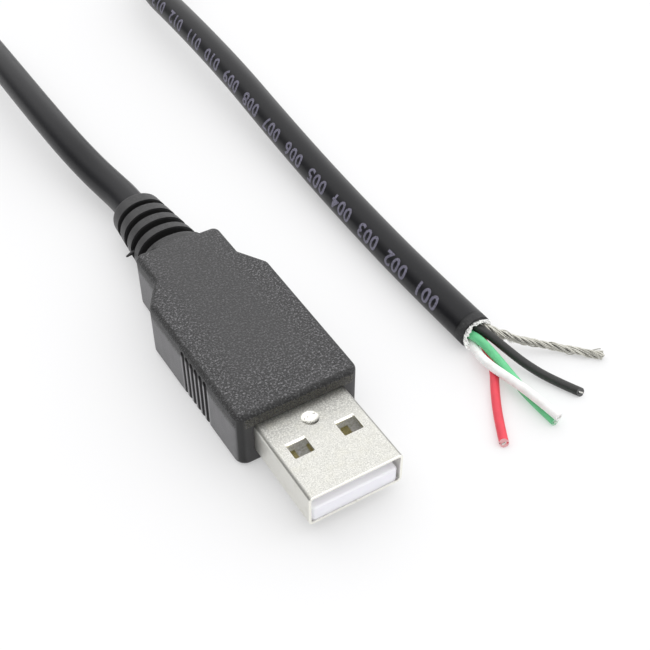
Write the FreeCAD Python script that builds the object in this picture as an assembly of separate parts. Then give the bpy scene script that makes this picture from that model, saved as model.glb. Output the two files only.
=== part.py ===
"""USB pigtail cable: a moulded plug with strain relief, a short round cable and a stripped, open end.

Millimetres. +X is to the right seen from the plug's mouth, the mouth faces -Y, +Z is up. The origin is
at the middle of the plug's base, on the surface that plug and cable lie on.
"""
import FreeCAD, Part
import math
import os

from FreeCAD import Vector

# Plug shell, a folded sheet
shell_width = 12.0
shell_height = 4.5
sheet = 0.3
shell_bend = 0.55
shell_exposed = 12.0
shell_embedded = 6.7
window_width = 2.5
window_length = 2.1
window_setback = 5.5
window_spacing = 6.36
dimple_radius = 1.1
dimple_depth = 0.26
dimple_setback = 9.8
seam_gap = 0.1
dovetail_reach = 0.9
dovetail_neck = 0.55
dovetail_head = 0.8
dovetail_setbacks = (3.6, 8.4)

# Contact carrier and its four contacts
tongue_thickness = 1.95
tongue_width = 11.1
tongue_setback = 0.35
tongue_chamfer = 0.6
cavity_depth = 8.1
carrier_recess = 1.8
carrier_fit = 0.03
carrier_corner = 0.45
contact_width = 1.0
contact_thickness = 0.25
contact_proud = 0.04
contact_dip = 0.45
contact_dip_length = 0.7
outer_contact_offset = 3.5
inner_contact_offset = 1.0
outer_contact_setback = 1.9
inner_contact_setback = 2.9
tail_reach = 3.4

# Overmould
mould_height = 8.3
mould_length = 32.2
mould_front_half_width = 8.05
mould_side_half_width = 8.33
mould_side_length = 22.4
flare_length = 3.8
neck_half_width = 6.0
rear_half_width = 6.0
front_corner = 1.4
side_corner = 1.0
inner_corner = 0.5
edge_round = 0.8

# Grip grooves on both sides of the overmould
grip_count = 6
grip_pitch = 1.135
grip_middle = 10.65
grip_radius = 0.4
grip_top_margin = 1.2

# Strain relief, moulded on the overmould
relief_length = 13.8
relief_root_half_width = 4.85
relief_root_clearance = 0.02
relief_end_half_width = 3.6
relief_end_half_height = 3.4
relief_end_round = 0.5
relief_droop = 0.7
slot_count = 4
slot_pitch = 2.65
slot_width = 1.1
first_slot_middle = 2.7
slot_reach = 1.6
slot_web = 0.7
slot_floor = 0.42
slot_floor_drop = 1.6
slot_floor_share = 0.93
flash_length = 1.0
flash_root_radius = 0.45
flash_tip_radius = 0.12
flash_depth = 0.4
flash_sweep = 0.35
flash_middle = 4.7

# Cable
cable_diameter = 4.7
jacket_wall = 0.6
braid_wall = 0.12
foil_wall = 0.05
wire_diameter = 1.1
core_diameter = 0.62
drain_diameter = 0.84

# Rear shield, two trays and a crimp round the cable
shield_sheet = 0.25
shield_overlap = 2.7
shield_length = 15.0
crimp_length = 4.2
jacket_entry = 1.0

# Inner wiring
solder_length = 1.9
solder_width = 0.85
solder_height = 0.95
solder_round = 0.3
strip_length = 1.6
strands_in_insulation = 0.3
wire_straight = 2.2
wire_approach = 3.6
drain_straight = 2.0
drain_reach = 7.2
drain_landing = 2.6
drain_solder_radius = 0.75

# Stripped end
strip_depth = 6.0
braid_proud = 0.45
braid_notch = 0.3
foil_proud = 0.2
foil_notch = 0.15
notch_count = 11
notch_half_width = 0.3
core_proud = 0.12
wire_straight_in_cut = 0.4

plug_length = shell_exposed + mould_length + relief_length
mouth_y = -plug_length / 2
face_y = mouth_y + shell_exposed
back_y = face_y + mould_length
relief_y = back_y + relief_length
axis_z = mould_height / 2
exit_z = axis_z - relief_droop
shell_length = shell_exposed + shell_embedded
shell_end_y = mouth_y + shell_length
shell_bottom = axis_z - shell_height / 2
shell_top = axis_z + shell_height / 2
tongue_top = shell_bottom + sheet + tongue_thickness
carrier_end_y = shell_end_y - carrier_recess
tail_end_y = carrier_end_y + tail_reach
shield_start_y = shell_end_y - shield_overlap
shield_end_y = shield_start_y + shield_length
jacket_end_y = shield_end_y - jacket_entry
cable_radius = cable_diameter / 2
wire_radius = wire_diameter / 2
core_radius = core_diameter / 2
drain_radius = drain_diameter / 2
fold_radius = cable_radius + braid_wall
bore_radius = cable_radius - jacket_wall
foil_outer = bore_radius - braid_wall
foil_inner = foil_outer - foil_wall

# Route of the cable from its held end in the plug to its exit from the strain relief, which has set low
exit_straight = 3.8
held_route = [
    (0.0, jacket_end_y, axis_z),
    (0.0, back_y, axis_z),
    (0.0, relief_y - exit_straight, exit_z),
    (0.0, relief_y, exit_z),
]

# Route of the free cable: X, distance behind the plug's mouth, and how far it is lifted off the surface
cable_points = [
    (-0.25, 66.2, 0.75),
    (-0.6, 72.2, 0.0),
    (-1.3, 80.5, 0.0),
    (-1.85, 92.0, 0.0),
    (-2.2, 107.0, 0.0),
    (-2.5, 125.0, 0.0),
    (-12.4, 139.4, 0.0),
    (-12.8, 157.0, 0.0),
    (-2.4, 171.2, 0.0),
    (14.8, 176.8, 0.0),
    (31.4, 170.2, 0.0),
    (41.3, 156.3, 0.0),
    (41.2, 139.0, 0.0),
    (31.2, 125.0, 0.0),
    (31.15, 107.0, 0.0),
    (30.4, 87.0, 0.0),
    (29.1, 70.0, 0.0),
    (28.0, 54.0, 0.0),
    (27.35, 40.0, 0.0),
    (27.15, 27.0, 0.0),
    (27.3, 14.45, 0.0),
]
cable_route = [(0.0, relief_y, exit_z), (0.0, relief_y + exit_straight, exit_z)]
cable_route += [(x, mouth_y + behind, cable_radius + lift) for x, behind, lift in cable_points]
cut_x, cut_y, cut_z = cable_route[-1]

# Angles of the wires round the cable's axis, seen against the way the stripped end points
lay_angle = {"drain": 36.0, "black": 101.0, "green": 178.0, "white": 255.0, "red": 332.0}
plug_lay_angle = {"drain": 270.0, "black": 205.0, "green": 128.0, "white": 52.0, "red": 335.0}
wire_names = ("red", "white", "green", "black")
contact_of_wire = {"red": "vbus", "white": "data_minus", "green": "data_plus", "black": "ground"}
contact_place = {
    "vbus": (outer_contact_offset, outer_contact_setback),
    "data_minus": (inner_contact_offset, inner_contact_setback),
    "data_plus": (-inner_contact_offset, inner_contact_setback),
    "ground": (-outer_contact_offset, outer_contact_setback),
}

# Routes of the fanned wires beyond the cut, as X, distance behind the plug's mouth and height
fan_points = {
    "black": [(28.06, 12.81, 2.67), (28.62, 10.47, 1.92), (29.7, 7.55, 1.2), (31.26, 4.21, 0.68),
              (33.12, 0.62, 0.57)],
    "green": [(26.69, 12.78, 2.85), (27.49, 10.09, 2.07), (27.76, 6.82, 1.25), (27.28, 3.22, 0.66),
              (27.33, -1.37, 0.56)],
    "white": [(25.91, 12.78, 1.56), (25.25, 9.84, 2.0), (25.99, 6.15, 2.05), (26.89, 2.4, 1.91),
              (27.33, -1.53, 1.68)],
    "red": [(27.35, 12.25, 1.35), (26.43, 9.24, 1.03), (24.1, 6.04, 0.66), (21.84, 2.49, 0.56),
            (19.99, -0.96, 0.62)],
    "drain": [(29.04, 13.49, 2.65), (30.43, 11.98, 1.96), (33.19, 9.84, 1.26), (36.45, 7.4, 0.69),
              (40.12, 4.47, 0.49)],
}


def block(x, y, z):
    """A box between pairs of coordinates."""
    return Part.makeBox(x[1] - x[0], y[1] - y[0], z[1] - z[0], Vector(x[0], y[0], z[0]))


def rod(radius, start, end):
    """A round bar from one point to another."""
    run = Vector(*end) - Vector(*start)
    return Part.makeCylinder(radius, run.Length, Vector(*start), run)


def fuse(solids):
    """All of the solids as one."""
    return solids[0].multiFuse(solids[1:]).removeSplitter() if len(solids) > 1 else solids[0]


def rounded_outline(points, radii):
    """A closed wire through plan points, each corner with its own radius."""
    count = len(points)
    starts, ends, edges = [], [], []
    for i, radius in enumerate(radii):
        corner = Vector(*points[i], 0)
        before = Vector(*points[i - 1], 0) - corner
        after = Vector(*points[(i + 1) % count], 0) - corner
        half = before.getAngle(after) / 2
        reach = radius / math.tan(half)
        before.normalize()
        after.normalize()
        inward = before + after
        inward.normalize()
        middle = corner + inward * (radius / math.sin(half) - radius)
        starts.append(corner + before * reach)
        ends.append(corner + after * reach)
        edges.append(Part.Arc(starts[i], middle, ends[i]).toShape())
    for i in range(count):
        edges.append(Part.LineSegment(ends[i], starts[(i + 1) % count]).toShape())
    return Part.Wire(Part.__sortEdges__(edges))


def cord_path(points):
    """Straight runs joined by tangent arcs, each arc as large as its two runs allow, and its radii."""
    corners = [Vector(*p) for p in points]
    edges, radii, at = [], [], corners[0]
    for before, corner, after in zip(corners, corners[1:], corners[2:]):
        back = before - corner
        on = after - corner
        turn = math.pi - back.getAngle(on)
        reach = 0.45 * min(back.Length, on.Length)
        radius = reach / math.tan(turn / 2)
        back.normalize()
        on.normalize()
        start = corner + back * reach
        end = corner + on * reach
        inward = back + on
        inward.normalize()
        middle = corner + inward * (radius / math.cos(turn / 2) - radius)
        edges.append(Part.LineSegment(at, start).toShape())
        edges.append(Part.Arc(start, middle, end).toShape())
        radii.append(radius)
        at = end
    edges.append(Part.LineSegment(at, corners[-1]).toShape())
    return Part.Wire(edges), radii


def swept(points, radius):
    """A round bar along a route."""
    path, _ = cord_path(points)
    heading = Vector(*points[1]) - Vector(*points[0])
    section = Part.Face(Part.Wire(Part.makeCircle(radius, Vector(*points[0]), heading)))
    return Part.Solid(path.makePipe(section).Shells[0])


def shell_section(y, inset):
    """The shell's rounded rectangle, as a face across Y, set in from the outside."""
    half_width = shell_width / 2 - inset
    half_height = shell_height / 2 - inset
    points = [(-half_width, -half_height), (half_width, -half_height),
              (half_width, half_height), (-half_width, half_height)]
    outline = rounded_outline(points, [shell_bend - inset] * 4)
    outline.rotate(Vector(0, 0, 0), Vector(1, 0, 0), 90)
    outline.translate(Vector(0, y, axis_z))
    return Part.Face(outline)


def seam_cut():
    """The butt seam under the shell, with its dovetail locks."""
    half = seam_gap / 2
    line = [(0.0, mouth_y - 1)]
    for setback in dovetail_setbacks:
        y = mouth_y + setback
        line += [(0.0, y - dovetail_neck), (dovetail_reach, y - dovetail_head),
                 (dovetail_reach, y + dovetail_head), (0.0, y + dovetail_neck)]
    line.append((0.0, shell_end_y + 1))
    cuts = []
    for (x0, y0), (x1, y1) in zip(line, line[1:]):
        run = math.hypot(x1 - x0, y1 - y0)
        cut = block((-half, half), (-half, run + half), (shell_bottom - 1, shell_bottom + sheet + 0.2))
        cut.rotate(Vector(0, 0, 0), Vector(0, 0, 1), math.degrees(math.atan2(x0 - x1, y1 - y0)))
        cut.translate(Vector(x0, y0, 0))
        cuts.append(cut)
    return cuts


def dimple_spheres():
    """The punch's sphere and the bump that it raises inside the shell."""
    radius = (dimple_radius ** 2 + dimple_depth ** 2) / (2 * dimple_depth)
    centre = Vector(0, mouth_y + dimple_setback, shell_top - dimple_depth + radius)
    return Part.makeSphere(radius, centre), Part.makeSphere(radius + sheet, centre)


def dimple_bump():
    """What the dimple pushes below the shell's top wall."""
    _, bump = dimple_spheres()
    under = block((-shell_width, shell_width), (mouth_y, shell_end_y), (axis_z, shell_top - sheet / 2))
    return bump.common(under)


def make_plug_shell():
    tube = shell_section(mouth_y, 0).extrude(Vector(0, shell_length, 0))
    hollow = shell_section(mouth_y, sheet).extrude(Vector(0, shell_length, 0))
    shell = tube.cut(hollow).fuse(dimple_bump())
    punch, _ = dimple_spheres()
    cuts = [punch]
    for side in (-1, 1):
        middle = side * window_spacing / 2
        x = (middle - window_width / 2, middle + window_width / 2)
        y = (mouth_y + window_setback, mouth_y + window_setback + window_length)
        cuts.append(block(x, y, (shell_bottom - 1, shell_top + 1)))
    return shell.cut(cuts + seam_cut()).removeSplitter()


def make_contact(name):
    """A stamped strip: a dipped tip held in the tongue, the flat contact face and the solder tail."""
    offset, setback = contact_place[name]
    top = tongue_top + contact_proud
    tip_y = mouth_y + setback
    flat_y = tip_y + contact_dip_length
    side = [(tip_y, top - contact_dip), (flat_y, top), (tail_end_y, top),
            (tail_end_y, top - contact_thickness), (flat_y + 0.1, top - contact_thickness),
            (tip_y, top - contact_dip - contact_thickness)]
    points = [Vector(offset - contact_width / 2, y, z) for y, z in side]
    face = Part.Face(Part.makePolygon(points + points[:1]))
    return face.extrude(Vector(contact_width, 0, 0))


def make_contact_carrier(contacts):
    floor = shell_bottom + sheet
    half_width = shell_width / 2 - sheet - carrier_fit
    tongue = block((-tongue_width / 2, tongue_width / 2),
                   (mouth_y + tongue_setback, mouth_y + cavity_depth + 1), (floor, tongue_top))
    lead_edges = [e for e in tongue.Edges if abs(e.CenterOfMass.y - mouth_y - tongue_setback) < 0.01
                  and e.CenterOfMass.z > tongue_top - 0.01]
    tongue = tongue.makeChamfer(tongue_chamfer, lead_edges)
    body = block((-half_width, half_width), (mouth_y + cavity_depth, carrier_end_y),
                 (floor, shell_top - sheet - carrier_fit))
    long_edges = [e for e in body.Edges if abs(e.tangentAt(e.FirstParameter).y) > 0.9]
    body = body.makeChamfer(carrier_corner, long_edges)
    in_shell = shell_section(mouth_y, sheet).extrude(Vector(0, shell_length, 0))
    return tongue.fuse(body).removeSplitter().common(in_shell).cut(contacts + [dimple_bump()])


def mould_outline():
    """Plan of the overmould, widest behind the grips, then drawn in to the neck."""
    side_y = face_y + mould_side_length
    right = [(mould_front_half_width, face_y, front_corner),
             (mould_side_half_width, side_y, side_corner),
             (neck_half_width, side_y + flare_length, inner_corner),
             (rear_half_width, back_y, side_corner)]
    left = [(-x, y, radius) for x, y, radius in reversed(right)]
    corners = right + left
    return rounded_outline([(x, y) for x, y, _ in corners], [radius for _, _, radius in corners])


def grip_cuts():
    """Upright half-round grooves with domed tops, the same on both sides."""
    cuts = []
    top = mould_height - grip_top_margin - grip_radius
    for i in range(grip_count):
        along = grip_middle + (i - (grip_count - 1) / 2) * grip_pitch
        spread = mould_side_half_width - mould_front_half_width
        reach = mould_front_half_width + spread * along / mould_side_length
        for side in (-1, 1):
            foot = (side * reach, face_y + along, -1)
            head = (side * reach, face_y + along, top)
            cuts += [rod(grip_radius, foot, head), Part.makeSphere(grip_radius, Vector(*head))]
    return cuts


def relief_half_width(along):
    """Half width of the strain relief at a distance behind the overmould."""
    share = (along + edge_round) / (relief_length + edge_round)
    return relief_root_half_width + (relief_end_half_width - relief_root_half_width) * share


def oval_wire(half_width, half_height, y, z):
    """An oval across Y."""
    stretch = FreeCAD.Matrix()
    stretch.scale(half_width, half_height, 1)
    wire = Part.Wire(Part.makeCircle(1)).transformGeometry(stretch)
    wire.rotate(Vector(0, 0, 0), Vector(1, 0, 0), 90)
    wire.translate(Vector(0, y, z))
    return wire


def relief_body():
    """A tapered oval sleeve that grows out of the overmould's rounded rim and sets low towards its end."""
    root_half_height = mould_height / 2 - relief_root_clearance
    root = oval_wire(relief_root_half_width, root_half_height, back_y - edge_round, axis_z)
    end = oval_wire(relief_end_half_width, relief_end_half_height, relief_y, exit_z)
    sleeve = Part.makeLoft([root, end], True, True)
    rim = [e for e in sleeve.Edges if e.BoundBox.YMin > relief_y - relief_root_clearance]
    return sleeve.makeFillet(relief_end_round, rim)


def slot_floor_body(side):
    """What the slots from above (side 1) or below (side -1) leave standing: an oval set off the cable's axis."""
    sections = []
    for y, half_width, z in ((back_y - edge_round, relief_root_half_width, axis_z),
                             (relief_y, relief_end_half_width, exit_z)):
        half_height = cable_radius + slot_floor + slot_floor_drop
        sections.append(oval_wire(slot_floor_share * half_width, half_height, y, z - side * slot_floor_drop))
    return Part.makeLoft(sections, True, True)


def relief_slots():
    """Slots from above that run out past the parting line, and from below, with a web between them."""
    cuts = []
    wide = (-relief_root_half_width, relief_root_half_width)
    above, below = slot_floor_body(1), slot_floor_body(-1)
    for i in range(slot_count):
        along = first_slot_middle + i * slot_pitch
        middle_z = axis_z - relief_droop * along / relief_length
        y = (back_y + along - slot_width / 2, back_y + along + slot_width / 2)
        cuts.append(block(wide, y, (middle_z - slot_reach, mould_height + 1)).cut(above))
        cuts.append(block(wide, y, (-1, middle_z - slot_reach - slot_web)).cut(below))
    return cuts


def flash_nib():
    """A nib of flash at the parting line, on the left side of the strain relief."""
    z = axis_z - relief_droop * flash_middle / relief_length
    root = Vector(flash_depth - relief_half_width(flash_middle), back_y + flash_middle, z)
    outward = Vector(-1, -flash_sweep, 0)
    return Part.makeCone(flash_root_radius, flash_tip_radius, flash_depth + flash_length, root, outward)


def make_overmould(inside):
    body = Part.Face(mould_outline()).extrude(Vector(0, 0, mould_height))
    rim = [e for e in body.Edges if abs(e.BoundBox.ZMin - e.BoundBox.ZMax) < 0.01]
    body = body.makeFillet(edge_round, rim)
    outer = fuse([body, relief_body(), flash_nib()])
    return outer.cut(grip_cuts() + relief_slots()).cut(inside)


def lay_place(name, angles):
    """Where a wire sits in the round of the cable, as an offset across it."""
    radius = drain_radius if name == "drain" else wire_radius
    reach = foil_inner - radius
    angle = math.radians(angles[name])
    return reach * math.cos(angle), reach * math.sin(angle)


def solder_place(name):
    """Middle of a solder joint's seat on its contact's tail."""
    offset, _ = contact_place[name]
    return offset, tail_end_y, tongue_top + contact_proud


def make_solder_joint(name):
    """A domed bead on the contact's tail, round the wire's bare strands."""
    x, y, z = solder_place(name)
    half_width = solder_width / 2
    bead = block((x - half_width, x + half_width), (y - solder_length, y), (z, z + solder_height))
    upper_edges = [e for e in bead.Edges if e.BoundBox.ZMax > z + solder_height / 2]
    return bead.makeFillet(solder_round, upper_edges)


def plug_wire_route(name):
    """From the jacket's end inside the plug to the wire's solder joint."""
    dx, dz = lay_place(name, plug_lay_angle)
    x, y, z = solder_place(contact_of_wire[name])
    seat = z + core_radius
    return [(dx, jacket_end_y, axis_z + dz), (dx, jacket_end_y - wire_straight, axis_z + dz),
            (x, y + wire_approach, seat), (x, y, seat)]


def make_plug_wire(name):
    """An insulated wire with its bare strands reaching into the solder."""
    route = plug_wire_route(name)
    x, y, z = route[-1]
    insulated = route[:-1] + [(x, y + strip_length, z)]
    strands = rod(core_radius, (x, y, z), (x, y + strip_length + strands_in_insulation, z))
    return swept(insulated, wire_radius).fuse(strands).removeSplitter()


def plug_drain_route():
    """From the jacket's end inside the plug down to the lower shield's floor."""
    dx, dz = lay_place("drain", plug_lay_angle)
    end_y = jacket_end_y - drain_reach
    low_z = shell_bottom + drain_radius
    return [(dx, jacket_end_y, axis_z + dz), (dx, jacket_end_y - drain_straight, axis_z + dz),
            (dx, end_y + drain_landing, low_z), (dx, end_y, low_z)]


def make_drain_solder():
    """A flat bead that ties the drain wire to the lower shield."""
    x, y, _ = plug_drain_route()[-1]
    bead = Part.makeCylinder(drain_solder_radius, solder_height, Vector(x, y, shell_bottom))
    rim = [e for e in bead.Edges if e.BoundBox.ZMin > shell_bottom + solder_height / 2]
    return bead.makeFillet(solder_round, rim)


def shield_envelope():
    """The outside of the closed rear shield, filled."""
    half_width = shell_width / 2 + shield_sheet
    return block((-half_width, half_width), (shield_start_y, shield_end_y),
                 (shell_bottom - shield_sheet, shell_top + shield_sheet))


def shield_hollow():
    """The inside of the closed rear shield."""
    half_width = shell_width / 2
    return block((-half_width, half_width), (shield_start_y - 1, shield_end_y - shield_sheet),
                 (shell_bottom, shell_top))


def crimp_envelope():
    """The outside of the crimp barrel, filled."""
    start = (0, shield_end_y - shield_sheet, axis_z)
    end = (0, shield_end_y + crimp_length, axis_z)
    return rod(fold_radius + shield_sheet, start, end)


def braid_fold_envelope():
    """The outside of the braid where it is folded back over the jacket."""
    return rod(fold_radius, (0, jacket_end_y, axis_z), (0, shield_end_y + crimp_length, axis_z))


def make_rear_shields():
    """Two trays that close on the shell and the cable, split at the middle height."""
    closed = shield_envelope().fuse(crimp_envelope()).cut([shield_hollow(), braid_fold_envelope()])
    wide = (-shell_width, shell_width)
    long = (mouth_y, relief_y)
    upper = closed.common(block(wide, long, (axis_z, mould_height)))
    lower = closed.common(block(wide, long, (0, axis_z)))
    return upper.removeSplitter(), lower.removeSplitter()


def cut_frame():
    """Directions at the cut: out of the cable, across it and up."""
    out = Vector(*cable_route[-1]) - Vector(*cable_route[-2])
    out.normalize()
    up = Vector(0, 0, 1)
    across = up.cross(out) * -1
    across.normalize()
    return out, across, up


def at_cut(dx, dz, forward):
    """A point beside the cable's axis at the cut, some way out of it."""
    out, across, up = cut_frame()
    point = Vector(cut_x, cut_y, cut_z) + across * -dx + up * dz + out * forward
    return point.x, point.y, point.z


def make_cable_jacket():
    """The free cable, with the bore that the stripped end shows."""
    jacket = swept(cable_route, cable_radius)
    bore = rod(bore_radius, at_cut(0, 0, -strip_depth), at_cut(0, 0, 1))
    return jacket.cut(bore)


def make_sleeve(outer, wall, proud, notch):
    """A thin sleeve in the cable's bore with a ragged front edge."""
    tube = rod(outer, at_cut(0, 0, -strip_depth), at_cut(0, 0, proud))
    hollow = rod(outer - wall, at_cut(0, 0, -strip_depth - 1), at_cut(0, 0, proud + 1))
    cuts = []
    for i in range(notch_count):
        angle = 2 * math.pi * (i + 0.3 * math.sin(5.0 * i)) / notch_count
        depth = notch * (0.6 + 0.4 * math.sin(7.0 * i + 1))
        x, z = math.cos(angle), math.sin(angle)
        inner = Vector(*at_cut((outer - 2 * wall) * x, (outer - 2 * wall) * z, proud))
        through = Vector(*at_cut((outer + wall) * x, (outer + wall) * z, proud)) - inner
        cut = Part.makeCone(depth, depth + notch_half_width, through.Length, inner, through)
        cuts.append(cut)
    return tube.cut(hollow).cut(cuts)


def fanned_route(name):
    """A wire's route from the bottom of the bore, out of the mouth and down to the surface."""
    dx, dz = lay_place(name, lay_angle)
    fan = [(x, mouth_y + behind, z) for x, behind, z in fan_points[name]]
    return [at_cut(dx, dz, -strip_depth), at_cut(dx, dz, -wire_straight_in_cut)] + fan


def make_fanned_wire(name):
    """Insulation and core of one fanned wire, the core a little proud of the insulation's end."""
    route = fanned_route(name)
    last = Vector(*route[-1])
    heading = last - Vector(*route[-2])
    heading.normalize()
    proud = last + heading * core_proud
    core = swept(route[:-1] + [(proud.x, proud.y, proud.z)], core_radius)
    return swept(route, wire_radius).cut(core), core


def save(name, shape):
    shape.exportStep("parts/" + name + ".step")
    print(f"{name:28s} solids {len(shape.Solids)}  volume {shape.Volume:9.3f}  valid {shape.isValid()}")


def main():
    os.makedirs("parts", exist_ok=True)
    contacts = {name: make_contact(name) for name in contact_place}
    for name, contact in contacts.items():
        save("contact_" + name, contact)
    save("plug_shell", make_plug_shell())
    save("contact_carrier", make_contact_carrier(list(contacts.values())))

    plug_wires = {name: make_plug_wire(name) for name in wire_names}
    plug_drain = swept(plug_drain_route(), drain_radius)
    solder = [make_solder_joint(contact_of_wire[name]) for name in wire_names] + [make_drain_solder()]
    solder = [bead.cut(list(plug_wires.values()) + [plug_drain]) for bead in solder]
    save("solder_joints", Part.makeCompound([s for bead in solder for s in bead.Solids]))
    for name, wire in plug_wires.items():
        save(name + "_wire_in_plug", wire)
    save("drain_wire_in_plug", plug_drain)

    upper, lower = make_rear_shields()
    save("rear_shield_upper", upper)
    save("rear_shield_lower", lower)
    cable_end = swept(held_route, cable_radius)
    fold = braid_fold_envelope().cut(cable_end)
    save("folded_braid", fold)
    save("cable_in_plug", cable_end)
    filling = block((-shell_width / 2, shell_width / 2), (shell_end_y, shield_end_y - shield_sheet),
                    (shell_bottom, shell_top))
    in_shell = shell_section(carrier_end_y, sheet).extrude(Vector(0, shell_end_y - carrier_end_y, 0))
    wiring = list(contacts.values()) + list(plug_wires.values()) + [plug_drain] + solder
    inner_mould = filling.fuse(in_shell).removeSplitter().cut(wiring + [braid_fold_envelope()])
    save("inner_mould", inner_mould)

    shell_envelope = shell_section(mouth_y, 0).extrude(Vector(0, shell_length, 0))
    inside = [shell_envelope, shield_envelope(), crimp_envelope(), cable_end]
    save("overmould", make_overmould(inside))

    jacket = make_cable_jacket()
    path, radii = cord_path(cable_route)
    print("cable length", round(path.Length, 2), "radii", [round(r, 1) for r in radii])
    print("tube volume", round(swept(cable_route, cable_radius).Volume, 1),
          "section times length", round(math.pi * cable_radius ** 2 * path.Length, 1))
    save("cable_jacket", jacket)
    drain = swept(fanned_route("drain"), drain_radius)
    save("drain_wire", drain)
    leaving = [drain]
    for name in wire_names:
        insulation, core = make_fanned_wire(name)
        save(name + "_insulation", insulation)
        save(name + "_core", core)
        leaving.append(insulation)
    save("braid_shield", make_sleeve(bore_radius, braid_wall, braid_proud, braid_notch).cut(leaving))
    save("foil_wrap", make_sleeve(foil_outer, foil_wall, foil_proud, foil_notch).cut(leaving))


main()
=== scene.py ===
"""Dresses a USB pigtail cable: a moulded plug, a short round cable and a stripped, open end.

+X is to the right seen from the plug's mouth, the mouth faces -Y, +Z is up. Blender and the panel's
settings are in metres; the named places and sizes, and the helpers that take them, in millimetres.
"""

import math
import random

import bmesh
import bpy
from bpy.props import (
    FloatProperty,
    FloatVectorProperty,
    IntProperty,
    PointerProperty,
    StringProperty,
)
from mathutils import Matrix, Vector
from mathutils.kdtree import KDTree


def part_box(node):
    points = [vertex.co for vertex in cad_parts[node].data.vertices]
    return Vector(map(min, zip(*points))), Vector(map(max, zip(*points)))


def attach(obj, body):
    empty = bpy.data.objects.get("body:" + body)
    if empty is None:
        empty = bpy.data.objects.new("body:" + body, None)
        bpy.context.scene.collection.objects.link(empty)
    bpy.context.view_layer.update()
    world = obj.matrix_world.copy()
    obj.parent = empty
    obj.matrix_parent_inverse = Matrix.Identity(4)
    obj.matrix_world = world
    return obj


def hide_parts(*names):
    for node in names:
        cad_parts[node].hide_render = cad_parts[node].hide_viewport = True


bl_info = {
    "name": "USB pigtail cable",
    "version": (1, 0, 0),
    "blender": (4, 5, 0),
    "location": "View3D > Sidebar > Cable",
    "description": "Builds a moulded USB plug with a short cable and a stripped end",
    "category": "Add Mesh",
}

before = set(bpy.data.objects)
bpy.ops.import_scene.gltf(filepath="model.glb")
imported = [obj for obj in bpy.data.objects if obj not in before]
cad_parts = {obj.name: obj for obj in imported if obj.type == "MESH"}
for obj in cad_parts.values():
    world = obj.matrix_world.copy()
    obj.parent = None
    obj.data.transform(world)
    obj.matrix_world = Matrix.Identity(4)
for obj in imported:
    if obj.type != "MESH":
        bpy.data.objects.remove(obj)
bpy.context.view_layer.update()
MM = 0.001


def corners_of(node):
    """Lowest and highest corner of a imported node."""
    return [tuple(c / MM for c in corner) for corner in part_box(node)]


shell_low, shell_high = corners_of("plug_shell")
mould_low, mould_high = corners_of("overmould")
carrier_low, carrier_high = corners_of("contact_carrier")

# Shell and tongue
SHELL_HALF = 6.0
SHELL_BOTTOM = 1.9
SHELL_TOP = 6.4
WINDOW_X = 3.18
WINDOW_FRONT = shell_low[1] + 5.5
WINDOW_BACK = shell_low[1] + 7.6
DIMPLE_Y = shell_low[1] + 9.8
TONGUE_TOP = 4.15

# Moulding, from its face to the end of the strain relief
FACE_Y = mould_low[1]
GRIPS_Y = FACE_Y + 7.0
SHOULDER_Y = FACE_Y + 22.4
NECK_Y = FACE_Y + 26.2
SLEEVE_Y = FACE_Y + 31.4
BLOCK_Y = FACE_Y + 32.2
RELIEF_Y = mould_high[1]
HALF_FACE = 8.05
HALF_SHOULDER = 8.33
HALF_NECK = 6.0
AXIS_Z = 4.15
EXIT_Z = 3.45
# Half width and half height of the strain relief at both ends
RELIEF_ROOT = (4.85, 4.145)
RELIEF_TIP = (3.6, 3.4)

# The cable's route from the strain relief to the cut
CABLE_ROUTE = [
    (0.0, 29.0, 3.45), (-0.05, 32.8, 3.45), (-0.55, 36.7, 3.45), (-1.3, 41.3, 3.75), (-2.3, 48.0, 4.75),
    (-3.0, 57.9, 5.55), (-3.55, 71.4, 6.15), (-3.8, 89.2, 5.85), (-12.6, 105.4, 4.85),
    (-12.8, 125.3, 3.55), (-2.5, 141.5, 2.65), (14.8, 147.8, 2.35), (31.2, 140.5, 2.65),
    (40.3, 124.6, 3.55), (39.0, 104.8, 4.85), (28.85, 89.2, 5.85), (28.8, 71.9, 5.85),
    (28.55, 53.7, 5.15), (28.0, 38.8, 3.95), (27.6, 24.3, 2.95), (27.38, 11.0, 2.35),
    (27.08, -2.0, 2.35), (27.25, -14.55, 2.35),
]
# The wires' routes beyond the cut
FAN = {
    "black": [(28.1, -16.15, 2.8), (28.85, -18.4, 2.1), (29.85, -21.4, 1.25), (31.26, -24.79, 0.68),
              (33.12, -28.38, 0.57)],
    "green": [(26.6, -16.22, 2.8), (27.02, -19.0, 1.95), (27.2, -22.4, 1.12), (27.1, -25.95, 0.64),
              (27.36, -30.5, 0.57)],
    "white": [(25.91, -16.22, 1.56), (25.25, -19.16, 2.0), (25.99, -22.85, 2.05), (26.89, -26.6, 1.91),
              (27.42, -30.84, 1.66)],
    "red": [(27.35, -16.75, 1.35), (26.43, -19.76, 1.03), (24.1, -22.96, 0.66), (21.84, -26.51, 0.56),
            (19.99, -29.96, 0.62)],
    "drain": [(29.04, -15.51, 2.65), (30.43, -17.02, 1.96), (33.19, -19.16, 1.26), (36.3, -21.67, 0.69),
              (39.92, -25.02, 0.5)],
}
WIRES = ("red", "white", "green", "black")
# Where each wire lies in the bore: its angle in degrees and its distance from the axis
LAY = {"drain": (36.0, 1.16), "black": (101.0, 1.03), "green": (178.0, 1.03), "white": (255.0, 1.03),
       "red": (332.0, 1.03)}
BORE_DEPTH = 6.0
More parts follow.
